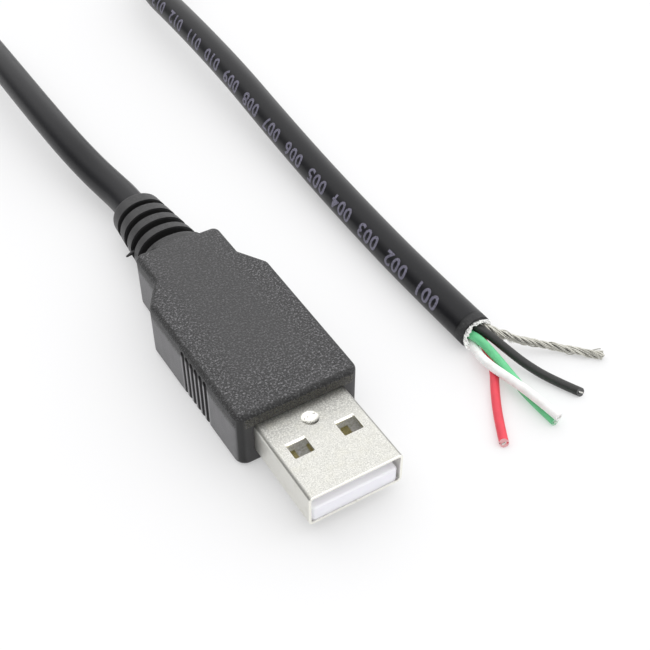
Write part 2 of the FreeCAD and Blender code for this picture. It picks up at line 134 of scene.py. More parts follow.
# How far each wire's cut leans from square, and the side to which it leans
SLANT = {"black": 0.6, "green": 0.05, "white": 0.05, "red": 0.3}
LEAN = Vector((-0.54, -0.44, 0.71))
CUT = Vector(CABLE_ROUTE[-1])
OUT = (CUT - Vector(CABLE_ROUTE[-2])).normalized()
UP = Vector((0.0, 0.0, 1.0))
ACROSS = OUT.cross(UP).normalized()

WHITE = (1.0, 1.0, 1.0, 1.0)


def size_setting(name, description, default):
    return FloatProperty(name=name, description=description, default=default, unit="LENGTH")


def turn_setting(name, description, degrees):
    return FloatProperty(name=name, description=description, default=math.radians(degrees), subtype="ANGLE")


def light_setting(name, description, default):
    return FloatProperty(name=name, description=description, default=default, min=0.0)


def tint_setting(name, description, default):
    return FloatVectorProperty(name=name, description=description, default=default, subtype="COLOR")


class StageSettings(bpy.types.PropertyGroup):
    """Camera, floor and light."""

    distance_x: size_setting("Camera X", "Place of the camera", -0.040705)
    distance_y: size_setting("Camera Y", "Place of the camera", -0.088273)
    height: size_setting("Camera height", "Height over the floor", 0.097388)
    heading: turn_setting("Heading", "Turn of the camera about the vertical", -31.66)
    elevation: turn_setting("Elevation", "How far the camera looks down", 43.68)
    roll: turn_setting("Roll", "Turn of the picture", 0.33)
    lens: FloatProperty(
        name="Lens", description="Focal length on a 36 mm sensor", default=59.46, subtype="DISTANCE_CAMERA")
    floor_colour: tint_setting("Floor", "Colour of the floor", (0.50, 0.50, 0.505))
    sky_dim: light_setting("Low light", "Light from near the horizon", 0.40)
    sky_bright: light_setting("High light", "Light from overhead", 1.55)
    floor_glow: light_setting("Floor glow", "Light of the lit floor panel", 0.40)


class CableSettings(bpy.types.PropertyGroup):
    """Jacket, its print and its cut end."""

    diameter: size_setting("Diameter", "Across the jacket", 0.0047)
    wall: size_setting("Jacket wall", "Thickness of the jacket", 0.0006)
    strip_depth: size_setting("Bore depth", "How deep the cut end is open", BORE_DEPTH * MM)
    jacket_colour: tint_setting("Jacket", "Colour of the jacket", (0.0075, 0.0075, 0.0095))
    print_colour: tint_setting("Print", "Colour of the length marks", (0.20, 0.19, 0.26))
    print_height: size_setting("Print height", "Height of the digits", 0.0021)
    print_text: StringProperty(
        name="Length marks", description="Digits printed along the jacket",
        default="001  002  003  004  005  006  007  008  009  010  011  012  013  014  015  016")


class MouldSettings(bpy.types.PropertyGroup):
    """The black moulding with its grips and strain relief."""

    height: size_setting("Height", "Overall height", mould_high[2] * MM)
    edge_round: size_setting("Edge round", "Radius of the rims", 0.0008)
    grip_count: IntProperty(name="Grips", description="Grooves on each side", default=6, min=0)
    slot_count: IntProperty(name="Slots", description="Slots along the strain relief", default=4, min=0)
    colour: tint_setting("Moulding", "Colour of the moulding", (0.036, 0.0355, 0.037))


class ShellSettings(bpy.types.PropertyGroup):
    """The folded metal shell and what is inside its mouth."""

    sheet: size_setting("Sheet", "Thickness of the sheet", 0.0003)
    bend: size_setting("Bend", "Outside radius of the folds", 0.00055)
    nickel_colour: tint_setting("Nickel", "Colour of the plating", (0.565, 0.56, 0.528))
    carrier_colour: tint_setting("Carrier", "Colour of the contact carrier", (0.80, 0.795, 0.85))
    gold_colour: tint_setting("Gold", "Colour of the contacts", (0.74, 0.66, 0.34))


class WireSettings(bpy.types.PropertyGroup):
    """The wires at the stripped end."""

    diameter: size_setting("Wire diameter", "Across the insulation", 0.00116)
    core_diameter: size_setting("Core diameter", "Across the strands", 0.00062)
    drain_diameter: size_setting("Drain diameter", "Across the bare wire", 0.00096)
    red: tint_setting("Red", "Insulation of the supply wire", (0.80, 0.055, 0.085))
    white: tint_setting("White", "Insulation of a data wire", (0.97, 0.97, 0.94))
    green: tint_setting("Green", "Insulation of a data wire", (0.15, 0.62, 0.29))
    black: tint_setting("Black", "Insulation of the ground wire", (0.022, 0.022, 0.021))


class Value:
    """A number on a shader socket. The usual operators add Math nodes."""

    def __init__(self, finish, socket):
        self.finish = finish
        self.socket = socket

    def __add__(self, other):
        return self.finish.maths("ADD", self, other)

    __radd__ = __add__

    def __sub__(self, other):
        return self.finish.maths("SUBTRACT", self, other)

    def __rsub__(self, other):
        return self.finish.maths("SUBTRACT", other, self)

    def __mul__(self, other):
        return self.finish.maths("MULTIPLY", self, other)

    __rmul__ = __mul__

    def __truediv__(self, other):
        return self.finish.maths("DIVIDE", self, other)

    def __pow__(self, other):
        return self.finish.maths("POWER", self, other)

    def __abs__(self):
        return self.finish.maths("ABSOLUTE", self)

    def most(self, other):
        return self.finish.maths("MAXIMUM", self, other)

    def ramp(self, start, end):
        """0 before the start, 1 after the end, smooth between."""
        node = self.finish.node(
            "ShaderNodeMapRange", {"interpolation_type": "SMOOTHSTEP"},
            {"Value": self, "From Min": start, "From Max": end, "To Min": 0.0, "To Max": 1.0})
        return Value(self.finish, node.outputs["Result"])

    def fall(self, start, end):
        """1 before the start, 0 after the end, smooth between."""
        return 1.0 - self.ramp(start, end)

    def span(self, start, full, fade, end):
        """Rises from start to full and falls from fade to end."""
        return self.ramp(start, full) * self.fall(fade, end)


class Finish:
    """A material under construction."""

    def __init__(self, owner):
        self.owner = owner
        self.owner.use_nodes = True
        self.tree = owner.node_tree
        self.tree.nodes.clear()

    def node(self, kind, settings=None, values=None):
        """One node: its settings first, then the values or links of its sockets."""
        node = self.tree.nodes.new(kind)
        for key, setting in (settings or {}).items():
            setattr(node, key, setting)
        for key, value in (values or {}).items():
            if isinstance(value, Value):
                value = value.socket
            if isinstance(value, bpy.types.NodeSocket):
                self.tree.links.new(value, node.inputs[key])
            else:
                node.inputs[key].default_value = value
        return node

    def maths(self, operation, *values):
        node = self.node("ShaderNodeMath", {"operation": operation}, dict(enumerate(values)))
        return Value(self, node.outputs[0])

    def place(self, scale=(1.0, 1.0, 1.0)):
        """Object coordinates in millimetres, stretched."""
        here = self.node("ShaderNodeTexCoord").outputs["Object"]
        mapping = self.node(
            "ShaderNodeMapping", {"vector_type": "POINT"},
            {"Vector": here, "Scale": tuple(s / MM for s in scale)})
        return mapping.outputs["Vector"]

    def parts(self, vector):
        node = self.node("ShaderNodeSeparateXYZ", None, {"Vector": vector})
        return [Value(self, node.outputs[i]) for i in range(3)]

    def axes(self):
        """X, Y and Z in millimetres."""
        return self.parts(self.place())

    def facing(self):
        """X, Y and Z of the surface's own direction."""
        return self.parts(self.node("ShaderNodeNewGeometry").outputs["Normal"])

    def stored(self, name):
        """A number kept on the mesh."""
        return Value(self, self.node("ShaderNodeAttribute", {"attribute_name": name}).outputs["Fac"])

    def grain(self, size, detail=2.0, roughness=0.6, scale=(1.0, 1.0, 1.0)):
        """Noise whose grains are about the size given."""
        node = self.node(
            "ShaderNodeTexNoise", {"noise_dimensions": "3D"},
            {"Vector": self.place(scale), "Scale": 1.0 / size, "Detail": detail, "Roughness": roughness})
        return Value(self, node.outputs[0])

    def mix(self, factor, first, second):
        """From one colour to another."""
        node = self.node(
            "ShaderNodeMix", {"data_type": "RGBA"}, {0: factor, 6: first, 7: second})
        return node.outputs[2]

    def shades(self, factor, base, first, second):
        """From one shade of a colour to another."""
        return self.mix(factor, colour(base, first), colour(base, second))

    def layers(self, tint, base, *layers):
        """Lays shades of the base colour over a tint: each a mask and how light its shade is."""
        for mask, shade in layers:
            tint = self.mix(mask, tint, colour(base, shade))
        return tint

    def bump(self, height, depth, strength):
        """A relief from a height between 0 and 1; depth in millimetres."""
        node = self.node(
            "ShaderNodeBump", None,
            {"Height": height, "Distance": depth * MM, "Strength": strength})
        return node.outputs["Normal"]

    def surface(self, **values):
        """The shader and the output."""
        named = {key.replace("_", " ").title().replace("Ior", "IOR"): value for key, value in values.items()}
        shader = self.node("ShaderNodeBsdfPrincipled", None, named)
        self.node("ShaderNodeOutputMaterial", None, {"Surface": shader.outputs[0]})
        return self.owner


def new_finish(name):
    return Finish(bpy.data.materials.new(name))


def colour(value, factor=1.0):
    """A colour with its alpha, made lighter or darker."""
    return tuple(min(c * factor, 1.0) for c in value[:3]) + (1.0,)


def relief_form(y):
    """The strain relief at a place along it: share of its length, half width, half height, axis height."""
    share = (y - SLEEVE_Y) / (RELIEF_Y - SLEEVE_Y)
    half_width, half_height = [root + (tip - root) * share for root, tip in zip(RELIEF_ROOT, RELIEF_TIP)]
    return share, half_width, half_height, AXIS_Z + (EXIT_Z - AXIS_Z) * share


def moulding_finish(base):
    """Spark-eroded black moulding: stippled on top and in front, smooth on its sides and rounded rims, with
    light and shade painted into its colour.
    """
    f = new_finish("black_moulding")
    x, y, z = f.axes()
    nx, ny, nz = f.facing()
    flat = abs(nz).ramp(0.90, 0.99)
    side = abs(nz).fall(0.04, 0.16)
    body = y.fall(BLOCK_Y + 0.4, BLOCK_Y + 1.8)
    rim = (1.0 - side) * (1.0 - flat)
    front_face = ((-1.0 * ny).ramp(0.9, 0.99) * z.ramp(SHELL_TOP - 0.1, SHELL_TOP + 0.2)
                  * y.fall(FACE_Y + 1.0, FACE_Y + 2.0))
    corner = abs(nx).fall(0.80, 0.97) * abs(ny).fall(0.86, 0.99) * side * y.fall(FACE_Y + 2.5, FACE_Y + 3.5)
    gripped = y.span(GRIPS_Y, GRIPS_Y + 0.2, GRIPS_Y + 7.0, GRIPS_Y + 7.2)
    grip = gripped * z.span(0.3, 0.9, 6.2, 6.9)
    land = abs(x).ramp(HALF_FACE + 0.03, HALF_FACE + 0.11)
    pocket = gripped * abs(x).span(7.2, 7.3, 8.02, 8.12) * z.span(6.3, 6.5, 7.7, 7.8) * (1.0 - flat)
    sleeve = y.ramp(BLOCK_Y - 0.2, BLOCK_Y + 0.4)
    share, half_width, half_height, middle_z = relief_form(y)
    across = x / half_width
    rise = (z - middle_z) / half_height
    sunk = ((across * across + rise * rise) ** 0.5).fall(0.90, 0.97)
    slot = sleeve * sunk * y.fall(RELIEF_Y - 0.7, RELIEF_Y - 0.5)
    strong = 0.37 + 0.63 * abs(x).ramp(2.5, 7.0).most(y.fall(FACE_Y + 2.0, FACE_Y + 11.0))
    rough_area = flat.most(front_face)
    stipple = f.grain(0.2, 1.0).ramp(0.36, 0.68)
    upper = (z + 0.5 * stipple).ramp(6.2, 7.2) * ny.fall(0.2, 0.5) * (1.0 - corner)
    fine = f.grain(0.06)
    spot = f.grain(0.26, 2.0, 0.7).ramp(0.48, 0.69)
    pit = f.grain(0.29, 2.0, 0.7).ramp(0.51, 0.70)
    smear = f.grain(1.1, scale=(1.0, 1.0, 0.5))
    tint = f.layers(
        f.shades(f.grain(3.5, 2.0, 0.5), base, 0.90, 1.10), base,
        (spot * rough_area * strong, 6.4),
        (pit * rough_area * strong * 0.65, 0.2),
        # Painted shade: the rounded rims darker.
        (rim * (0.7 + 0.3 * stipple) * body, 0.12),
        (rim * body * spot * 0.6, 3.2),
        # Painted reflection: the side faces lighter, less so near the top.
        (side * abs(nx).ramp(0.5, 0.8) * (0.6 + 0.4 * smear) * (1.0 - 0.9 * upper), 5.2),
        # Painted shade: the upper part of the sides darker.
        (side * upper * body * (0.5 + 0.5 * stipple), 0.1),
        # Painted shade in the grooves and their pockets, painted highlights on the lands between the
        # grooves.
        (grip * (1.0 - land), 0.5),
        (grip * land * 0.85, 10.0),
        (pocket, 0.04),
        # Painted shade: the rounded front corners darker.
        (corner, 0.1),
        (sleeve * 0.6, 0.6),
        # Painted shade: the slots' floors darker.
        (slot * 0.95, 0.08))
    # Painted reflection: the stipple on the front face above the shell lighter and olive.
    tint = f.mix(front_face * stipple * 0.8, tint, (0.13, 0.125, 0.095, 1.0))
    rough = 0.46 + 0.03 * flat + 0.08 * fine - 0.06 * rim + 0.3 * slot
    height = stipple * (rough_area * strong + 0.5 * rim * body) + fine * 0.2
    return f.surface(base_color=tint, roughness=rough, normal=f.bump(height, 0.09, 1.0))


def nickel_finish(base):
    """Nickel plating with a fine satin grain, with painted highlights at the mouth's lip, the ledges behind
    the windows and the dimple, and more light and shade painted on.
    """
    f = new_finish("nickel_plate")
    x, y, z = f.axes()
    sideways = abs(f.facing()[0])
    grit = f.grain(0.13, 3.0, 0.75)
    fine = f.grain(0.07, 1.0)
    patch = f.grain(2.2, 2.0, 0.5)
    coarse = f.grain(0.22, 2.0, 0.7).ramp(0.40, 0.62)
    tarnish = f.grain(1.4, 3.0).ramp(0.45, 0.8)
    lip = y.fall(shell_low[1] + 0.02, shell_low[1] + 0.2)
    back = y.ramp(FACE_Y - 6.0, FACE_Y - 0.6) * z.ramp(SHELL_TOP - 0.1, SHELL_TOP - 0.02)
    fold = (sideways.span(0.2, 0.45, 0.8, 0.95) * z.ramp(SHELL_TOP - 1.2, SHELL_TOP - 0.8)
            * abs(x).ramp(SHELL_HALF - 0.8, SHELL_HALF - 0.5))
    ledge = (y.span(WINDOW_BACK - 0.06, WINDOW_BACK, WINDOW_BACK + 0.26, WINDOW_BACK + 0.34)
             * abs(abs(x) - WINDOW_X).fall(1.18, 1.32) * z.ramp(SHELL_TOP - 0.5, SHELL_TOP - 0.3))
    behind = y - DIMPLE_Y
    pressed = ((x * x + behind * behind) ** 0.5).fall(0.95, 1.12) * z.ramp(SHELL_TOP - 1.4, SHELL_TOP - 1.0)
    shade = (x * 0.5 - behind * 0.87).ramp(0.35, 1.0) * pressed
    pocks = f.grain(0.3, 1.0).ramp(0.56, 0.66) * pressed
    # The lip, the ledges and the dimple: painted highlights there, and a smoother surface.
    worn = lip.most(ledge).most(pressed * 0.85)
    tint = f.layers(
        f.shades(grit.ramp(0.30, 0.70), base, 0.72, 1.28), base,
        # Painted shadow: the shell's top darker next to the moulding, mottled.
        (back * (0.15 + 1.2 * coarse), 0.62),
        # Painted light: the side walls lighter.
        (sideways.ramp(0.8, 0.98) * 0.8, 1.44),
        # Painted shade: a dark line along the side folds.
        (fold * 0.5, 0.42))
    tint = f.mix(tarnish * 0.35, tint, colour((base[0], base[1] * 0.985, base[2] * 0.90)))
    # Painted highlights on the lip, the ledges and the dimple.
    tint = f.mix(worn, tint, (0.93, 0.92, 0.85, 1.0))
    tint = f.layers(tint, base, ((shade * 0.75).most(pocks * 0.6), 0.22))
    rough = 0.27 + 0.16 * grit + 0.06 * patch - 0.12 * worn
    height = grit * 0.7 + fine * 0.3
    return f.surface(base_color=tint, metallic=1.0, roughness=rough, normal=f.bump(height, 0.016, 0.8))


def plastic_finish(name, base, sheen):
    """Smooth moulded or extruded plastic with faint flow marks."""
    f = new_finish(name)
    cloud = f.grain(1.6, 3.0, 0.55)
    fine = f.grain(0.08)
    rough = sheen - 0.05 + 0.1 * cloud + 0.06 * fine
    return f.surface(
        base_color=f.shades(cloud, base, 0.93, 1.05), roughness=rough, normal=f.bump(fine, 0.006, 0.4))


def carrier_finish(base):
    """White glass-filled plastic with a faint grain and a milky body, with painted shade deep inside the
    shell and a painted glow.
    """
    f = new_finish("white_plastic")
    x, y, z = f.axes()
    fine = f.grain(0.06)
    mottle = f.grain(0.25).ramp(0.35, 0.7)
    inside = y.ramp(FACE_Y - 7.8, FACE_Y - 5.6)
    top = z.ramp(TONGUE_TOP - 0.2, TONGUE_TOP - 0.03) * y.fall(shell_low[1] + 1.0, shell_low[1] + 2.5)
    tint = f.shades(f.grain(1.2, 2.0, 0.5), base, 0.96, 1.04)
    # Painted shade: darker deep inside the shell, mottled.
    tint = f.mix(inside * (0.40 + 0.4 * mottle), tint, (0.26, 0.25, 0.21, 1.0))
    # Painted light: the plastic glows, brightest on the tongue's top near the mouth and dim deep inside the
    # shell.
    glow = f.mix(top, (0.50, 0.495, 0.53, 1.0), (1.0, 0.99, 1.0, 1.0))
    glow = f.mix(inside, glow, (0.24, 0.235, 0.20, 1.0))
    return f.surface(
        base_color=tint, roughness=0.38 + 0.12 * fine, subsurface_weight=0.5,
        subsurface_radius=(0.0014, 0.0012, 0.0014), subsurface_scale=1.0,
        emission_color=glow, emission_strength=0.31, normal=f.bump(fine, 0.006, 0.5))


def gold_finish(base):
    """Gold plating with rolling marks along the strip."""
    f = new_finish("gold_plate")
    marks = f.grain(0.06, scale=(1.0, 0.12, 1.0))
    tint = f.shades(f.grain(0.5, 1.0, 0.5), base, 0.85, 1.08)
    return f.surface(
        base_color=tint, metallic=1.0, roughness=0.22 + 0.14 * marks, normal=f.bump(marks, 0.005, 0.6))


def metal_finish(name, base, rough=0.3, size=0.1, depth=0.008, crevice_shade=0.0, metallic=1.0, glints=0.0):
    """Metal with a fine grain and dull patches, with painted shade deep between strands and painted glints:
    specks that glow.
    """
    f = new_finish(name)
    grit = f.grain(size)
    patch = f.grain(size * 9.0, 2.0, 0.5)
    tint = f.shades(patch, base, 0.82, 1.1)
    # Painted shade: darker deep between the strands, where the stored depth is high.
    if crevice_shade:
        tint = f.layers(tint, base, (f.stored("depth") * crevice_shade, 0.12))
    # Painted highlights: specks of noise that glow, standing in for glints.
    spark = f.mix(f.grain(0.16).ramp(0.42, 0.62), (0.0, 0.0, 0.0, 1.0), (1.0, 1.0, 0.98, 1.0))
    return f.surface(
        base_color=tint, metallic=metallic, roughness=rough + 0.16 * patch + 0.08 * grit,
        emission_color=spark, emission_strength=glints, normal=f.bump(grit, depth, 0.8))


def jacket_finish(base):
    """Black jacket: extruded, faintly drawn along its length, scored, scratched and dusty near the cut."""
    f = new_finish("black_jacket")
    x, y, z = f.axes()
    drawn = f.grain(0.5, 3.0, 0.55, scale=(1.0, 0.25, 1.0))
    fine = f.grain(0.07, 2.0, 0.65)
    dust = f.grain(0.35, 4.0, 0.7).ramp(0.52, 0.8)
    scratch = f.grain(0.12, scale=(1.0, 0.18, 1.0)).ramp(0.5, 0.72)
    back = (x - CUT.x) * -OUT.x + (y - CUT.y) * -OUT.y
    cut_side = x.ramp(20.0, 24.0)
    near_cut = back.fall(0.7, 1.3) * cut_side
    score = abs(back - 1.2).fall(0.05, 0.16) * cut_side
    tint = f.shades(drawn, base, 0.8, 1.1)
    tint = f.mix(dust * 0.08, tint, (0.11, 0.11, 0.115, 1.0))
    tint = f.mix(near_cut * (0.25 + 0.5 * dust + 0.25 * scratch), tint, (0.10, 0.10, 0.10, 1.0))
    tint = f.layers(tint, base, (score * 0.8, 0.3))
    height = fine * 0.5 + drawn * 0.5 - score + near_cut * scratch * 0.6
    return f.surface(base_color=tint, roughness=0.26 + 0.10 * drawn + 0.3 * near_cut,
                     specular_ior_level=0.28, normal=f.bump(height, 0.014, 0.6))


def print_finish(base):
    """Worn ink."""
    f = new_finish("print_ink")
    worn = f.grain(0.16, 3.0, 0.7).ramp(0.3, 0.62)
    return f.surface(base_color=f.shades(worn, base, 0.25, 1.1), roughness=0.45 + 0.1 * worn)


def insulation_finish(name, base):
    """Thin extruded insulation, a little waxy, paler where it is cut."""
    f = new_finish(name)
    drawn = f.grain(0.35, 2.0, 0.5, scale=(1.0, 0.3, 1.0))
    fine = f.grain(0.05)
    scuff = f.grain(0.22, 3.0, 0.7).ramp(0.62, 0.85)
    shade = f.grain(1.3, 1.0, 0.5).ramp(0.35, 0.7)
    tint = f.layers(f.shades(drawn, base, 0.90, 1.10), base, (shade * 0.3, 0.72))
    tint = f.mix(scuff * 0.3, tint, colour([0.5 * c + 0.35 for c in base]))
    tint = f.mix(f.stored("cut") * 0.9, tint, colour([0.5 * c + 0.5 * max(base) + 0.08 for c in base]))
    return f.surface(
        base_color=tint, roughness=0.38 + 0.1 * drawn, subsurface_weight=0.08,
        subsurface_radius=(0.0003, 0.0002, 0.0002), normal=f.bump(fine * 0.6 + drawn * 0.4, 0.006, 0.6))


def floor_finish(base, glow):
    """A white light panel with a barely visible tooth."""
    f = new_finish("floor")
    tooth = f.grain(0.4, 3.0)
    return f.surface(
        base_color=f.shades(tooth, base, 0.995, 1.005), roughness=0.85 + 0.05 * tooth,
        specular_ior_level=0.1, emission_color=WHITE, emission_strength=glow)


def deselect():
    bpy.ops.object.select_all(action="DESELECT")


def activate(piece):
    deselect()
    piece.select_set(True)
    bpy.context.view_layer.objects.active = piece


def rename(piece, name):
    piece.name = piece.data.name = name
    return piece


def settle(name):
    """Names the newest piece and puts its place into its mesh."""
    bpy.ops.object.transform_apply(location=True, rotation=True, scale=True)
    return rename(bpy.context.object, name)


def linked(name, data):
    """A new object that holds the data."""
    piece = bpy.data.objects.new(name, data)
    bpy.context.collection.objects.link(piece)
    return piece


def edit(piece):
    activate(piece)
    bpy.ops.object.mode_set(mode="EDIT")
    bpy.ops.mesh.select_all(action="DESELECT")


def leave():
    bpy.ops.object.mode_set(mode="OBJECT")


def take_all():
    bpy.ops.mesh.select_all(action="SELECT")


def pick(kind, test):
    """Selects the vertices, edges or faces that pass a test."""
    bpy.ops.mesh.select_mode(type=kind)
    bpy.ops.mesh.select_all(action="DESELECT")
    data = bpy.context.edit_object.data
    mesh = bmesh.from_edit_mesh(data)
    mesh.normal_update()
    for item in {"VERT": mesh.verts, "EDGE": mesh.edges, "FACE": mesh.faces}[kind]:
        if test(item):
            item.select_set(True)
    mesh.select_flush_mode()
    bmesh.update_edit_mesh(data)


def middle(item):
    """Middle of an edge or a face."""
    return sum((v.co for v in item.verts), Vector()) / len(item.verts) / MM


def along(edge, axis):
    """Whether an edge runs along X, Y or Z."""
    run = (edge.verts[0].co - edge.verts[1].co).normalized()
    return abs(run[axis]) > 0.999


def extrude(x, y, z):
    bpy.ops.mesh.extrude_region_move(TRANSFORM_OT_translate={"value": (x * MM, y * MM, z * MM)})


def inset(thickness, depth=0.0):
    bpy.ops.mesh.inset(thickness=thickness * MM, depth=depth * MM)


def widen(x, y, z, centre):
    bpy.ops.transform.resize(value=(x, y, z), center_override=[c * MM for c in centre])


def slice_all(place, direction):
    """Cuts everything along a plane; its place is in metres."""
    take_all()
    bpy.ops.mesh.bisect(plane_co=place, plane_no=direction)


def bevel(radius, segments):
    """Rounds what is selected."""
    bpy.ops.mesh.bevel(offset_type="OFFSET", offset=radius * MM, segments=segments, profile=0.5,
                       affect="EDGES", clamp_overlap=False)


def rounded(piece, axis, radius, segments):
    """Rounds a piece's edges along one axis."""
    edit(piece)
    pick("EDGE", lambda e: along(e, axis))
    bevel(radius, segments)
    leave()
    return piece


def placed(piece, place, turn, axis):
    """Turns a piece about an axis through the origin, then moves it."""
    piece.data.transform(Matrix.Translation(Vector(place) * MM) @ Matrix.Rotation(turn, 4, axis))
    return piece


def block(name, low, high):
    """A box between two corners."""
    deselect()
    centre = [(a + b) / 2 * MM for a, b in zip(low, high)]
    size = [(b - a) * MM for a, b in zip(low, high)]
    bpy.ops.mesh.primitive_cube_add(size=1.0, location=centre, scale=size)
    return settle(name)


def shell_block(name, gap, front, back):
    """A box as wide and high as the shell, with a gap all round."""
    return block(name, (-SHELL_HALF - gap, front, SHELL_BOTTOM - gap),
                 (SHELL_HALF + gap, back, SHELL_TOP + gap))


def barrel(name, radius, start, end, sides):
    """A round bar between two points."""
    deselect()
    start, end = Vector(start), Vector(end)
    turn = (end - start).to_track_quat("Z", "Y").to_euler()
    bpy.ops.mesh.primitive_cylinder_add(
        vertices=sides, radius=radius * MM, depth=(end - start).length * MM,
        location=(start + end) / 2 * MM, rotation=turn)
    return settle(name)


def ball(name, radius, centre, segments, rings):
    deselect()
    bpy.ops.mesh.primitive_uv_sphere_add(
        segments=segments, ring_count=rings, radius=radius * MM, location=[c * MM for c in centre])
    return settle(name)


def copy_of(piece, move):
    """A moved copy with its own mesh."""
    twin = linked(piece.name, piece.data.copy())
    twin.data.transform(Matrix.Translation(Vector(move) * MM))
    return twin


def join(pieces):
    """Several pieces as one object."""
    activate(pieces[0])
    for piece in pieces:
        piece.select_set(True)
    if len(pieces) > 1:
        bpy.ops.object.join()
    return bpy.context.object


def discard(piece):
    """Removes a piece and its data."""
    data = piece.data
    bpy.data.objects.remove(piece)
    store = bpy.data.curves if isinstance(data, bpy.types.Curve) else bpy.data.meshes
    store.remove(data)


def combine(piece, other, operation="DIFFERENCE"):
    """Cuts, adds or keeps the other piece, which is used up."""
    modifier = piece.modifiers.new("combine", "BOOLEAN")
    modifier.operation = operation
    modifier.object = other
    modifier.solver = "EXACT"
    activate(piece)
    bpy.ops.object.modifier_apply(modifier=modifier.name)
    discard(other)
    return piece


def apply_modifier(piece, kind, **settings):
    modifier = piece.modifiers.new("finish", kind)
    for key, value in settings.items():
        setattr(modifier, key, value)
    activate(piece)
    bpy.ops.object.modifier_apply(modifier=modifier.name)


def smooth(piece, degrees):
    activate(piece)
    bpy.ops.object.shade_smooth_by_angle(angle=math.radians(degrees))


def even_shading(piece, degrees):
    """Smooth bends with flat faces kept flat."""
    smooth(piece, degrees)
    apply_modifier(piece, "WEIGHTED_NORMAL", mode="FACE_AREA", keep_sharp=True, weight=80)


def outward(piece):
    """Merges doubles and turns all faces out."""
    edit(piece)
    take_all()
    bpy.ops.mesh.remove_doubles(threshold=1e-7)
    bpy.ops.mesh.normals_make_consistent(inside=False)
    leave()


def finish_piece(piece, material, slot, *nodes):
    """Gives a new piece its finish and its body, and hides the nodes that it stands for."""
    piece.data.materials.clear()
    piece.data.materials.append(material)
    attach(piece, "root")
    if nodes:
        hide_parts(*nodes)


def dress(node, material):
    """A carried-over node gets its finish."""
    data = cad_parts[node].data
    data.materials.clear()
    data.materials.append(material)


def spline(name, points, kind="NURBS", radius=0.0, sides=16, steps=12):
    """A curve object through or along points; a radius makes it a tube."""
    data = bpy.data.curves.new(name, "CURVE")
    data.dimensions = "3D"
    line = data.splines.new(kind)
    line.points.add(len(points) - 1)
    for point, place in zip(line.points, points):
        point.co = (*(Vector(place) * MM), 1.0)
    if kind == "NURBS":
        line.order_u = 3
        line.use_endpoint_u = True
    data.resolution_u = steps
    data.bevel_depth = radius * MM
    data.bevel_resolution = max((sides - 4) // 2, 0)
    data.use_fill_caps = radius > 0
    return linked(name, data)


def made_mesh(curve):
    """The curve as a mesh piece; the curve is used up."""
    bpy.context.view_layer.update()
    name = curve.name
    data = bpy.data.meshes.new_from_object(curve)
    discard(curve)
    return rename(linked(name, data), name)


def tube(name, points, radius, sides, steps=12):
    """A round tube with closed ends along a route."""
    piece = made_mesh(spline(name, points, "NURBS", radius, sides, steps))
    outward(piece)
    return piece


def strand_along(name, points, radius, sides):
    """A thin round strand in straight runs between its points."""
    return made_mesh(spline(name, points, "POLY", radius, sides))


def path_of(points, steps=12):
    """Points read from a route's smooth line."""
    piece = made_mesh(spline("path", points, steps=steps))
    places = [v.co / MM for v in piece.data.vertices]
    discard(piece)
    return places


def cable_path():
    return path_of(CABLE_ROUTE, 14)


def lengths_of(places):
    """Distance along a line at each of its points."""
    distances = [0.0]
    for a, b in zip(places, places[1:]):
        distances.append(distances[-1] + (b - a).length)
    return distances


def sampled(places, step):
    """Points at even distances along a line, with the direction at each."""
    distances = lengths_of(places)
    count = max(int(distances[-1] / step), 2)
    found, at = [], 0
    for i in range(count + 1):
        s = distances[-1] * i / count
        while at < len(places) - 2 and distances[at + 1] < s:
            at += 1
        share = (s - distances[at]) / max(distances[at + 1] - distances[at], 1e-9)
        found.append((places[at].lerp(places[at + 1], share), (places[at + 1] - places[at]).normalized()))
    return found


def carried_frames(places, step):
    """Points along a line, each with two directions across it that don't spin."""
    frames = []
    side = None
    for point, heading in sampled(places, step):
        if side is None:
            side = heading.cross(UP).normalized()
        side = (side - heading * side.dot(heading)).normalized()
        frames.append((point, heading, side, heading.cross(side)))
    return frames


def twisted(name, places, radius, reach, count, lay, step, sides, wander=0.0, loose=None):
    """Strands laid round a line, as one piece. loose holds over what length they open, and how far."""
    frames = carried_frames(places, step)
    total = lengths_of(places)[-1]
    strands = []
    for i in range(count):
        line = []
        for k, (point, heading, side, over) in enumerate(frames):
            s = total * k / (len(frames) - 1)
            angle = 2 * math.pi * (i / count + s / lay) + wander * math.sin(0.9 * s + 2.1 * i)
            spread = 1.0 + wander * math.sin(1.7 * s + 2.7 * i)
            if loose:
                opened = max(0.0, 1.0 - (total - s) / loose[0])
                spread += loose[1] * opened ** 1.6 * (0.5 + 0.9 * abs(math.sin(2.3 * i + 0.6)))
            line.append(point + (side * math.cos(angle) + over * math.sin(angle)) * reach * spread)
        kept = len(line) - i * 5 % 3
        strands.append(strand_along(name, line[:kept], radius, sides))
    return join(strands)


def lay_on_floor(piece):
    """Presses what would reach under the floor up against it."""
    for v in piece.data.vertices:
        v.co.z = max(v.co.z, 0.0)


def mark_depth(piece, places, reach, radius):
    """Stores at each point how deep between the strands it lies: 0 outside, 1 inside."""
    dense = [point for point, heading in sampled(places, 0.08)]
    tree = KDTree(len(dense))
    for i, point in enumerate(dense):
        tree.insert(point, i)
    tree.balance()
    stored = piece.data.attributes.new("depth", "FLOAT", "POINT")
    for v, item in zip(piece.data.vertices, stored.data):
        away = tree.find(v.co / MM)[2]
        item.value = max(0.0, min(1.0, (reach + radius * 0.75 - away) / (radius * 0.9)))


def at_cut(dx, dz, forward):
    """A place beside the cable's axis at the cut."""
    return CUT + ACROSS * dx + UP * dz + OUT * forward


def slant(piece, end, heading, lean):
    """Slants a cut end: its points slide along the wire by how far they lie towards the lean."""
    for v in piece.data.vertices:
        place = v.co / MM - end
        if place.dot(heading) > -0.2 and place.length < 1.0:
            v.co -= heading * place.dot(lean) * MM


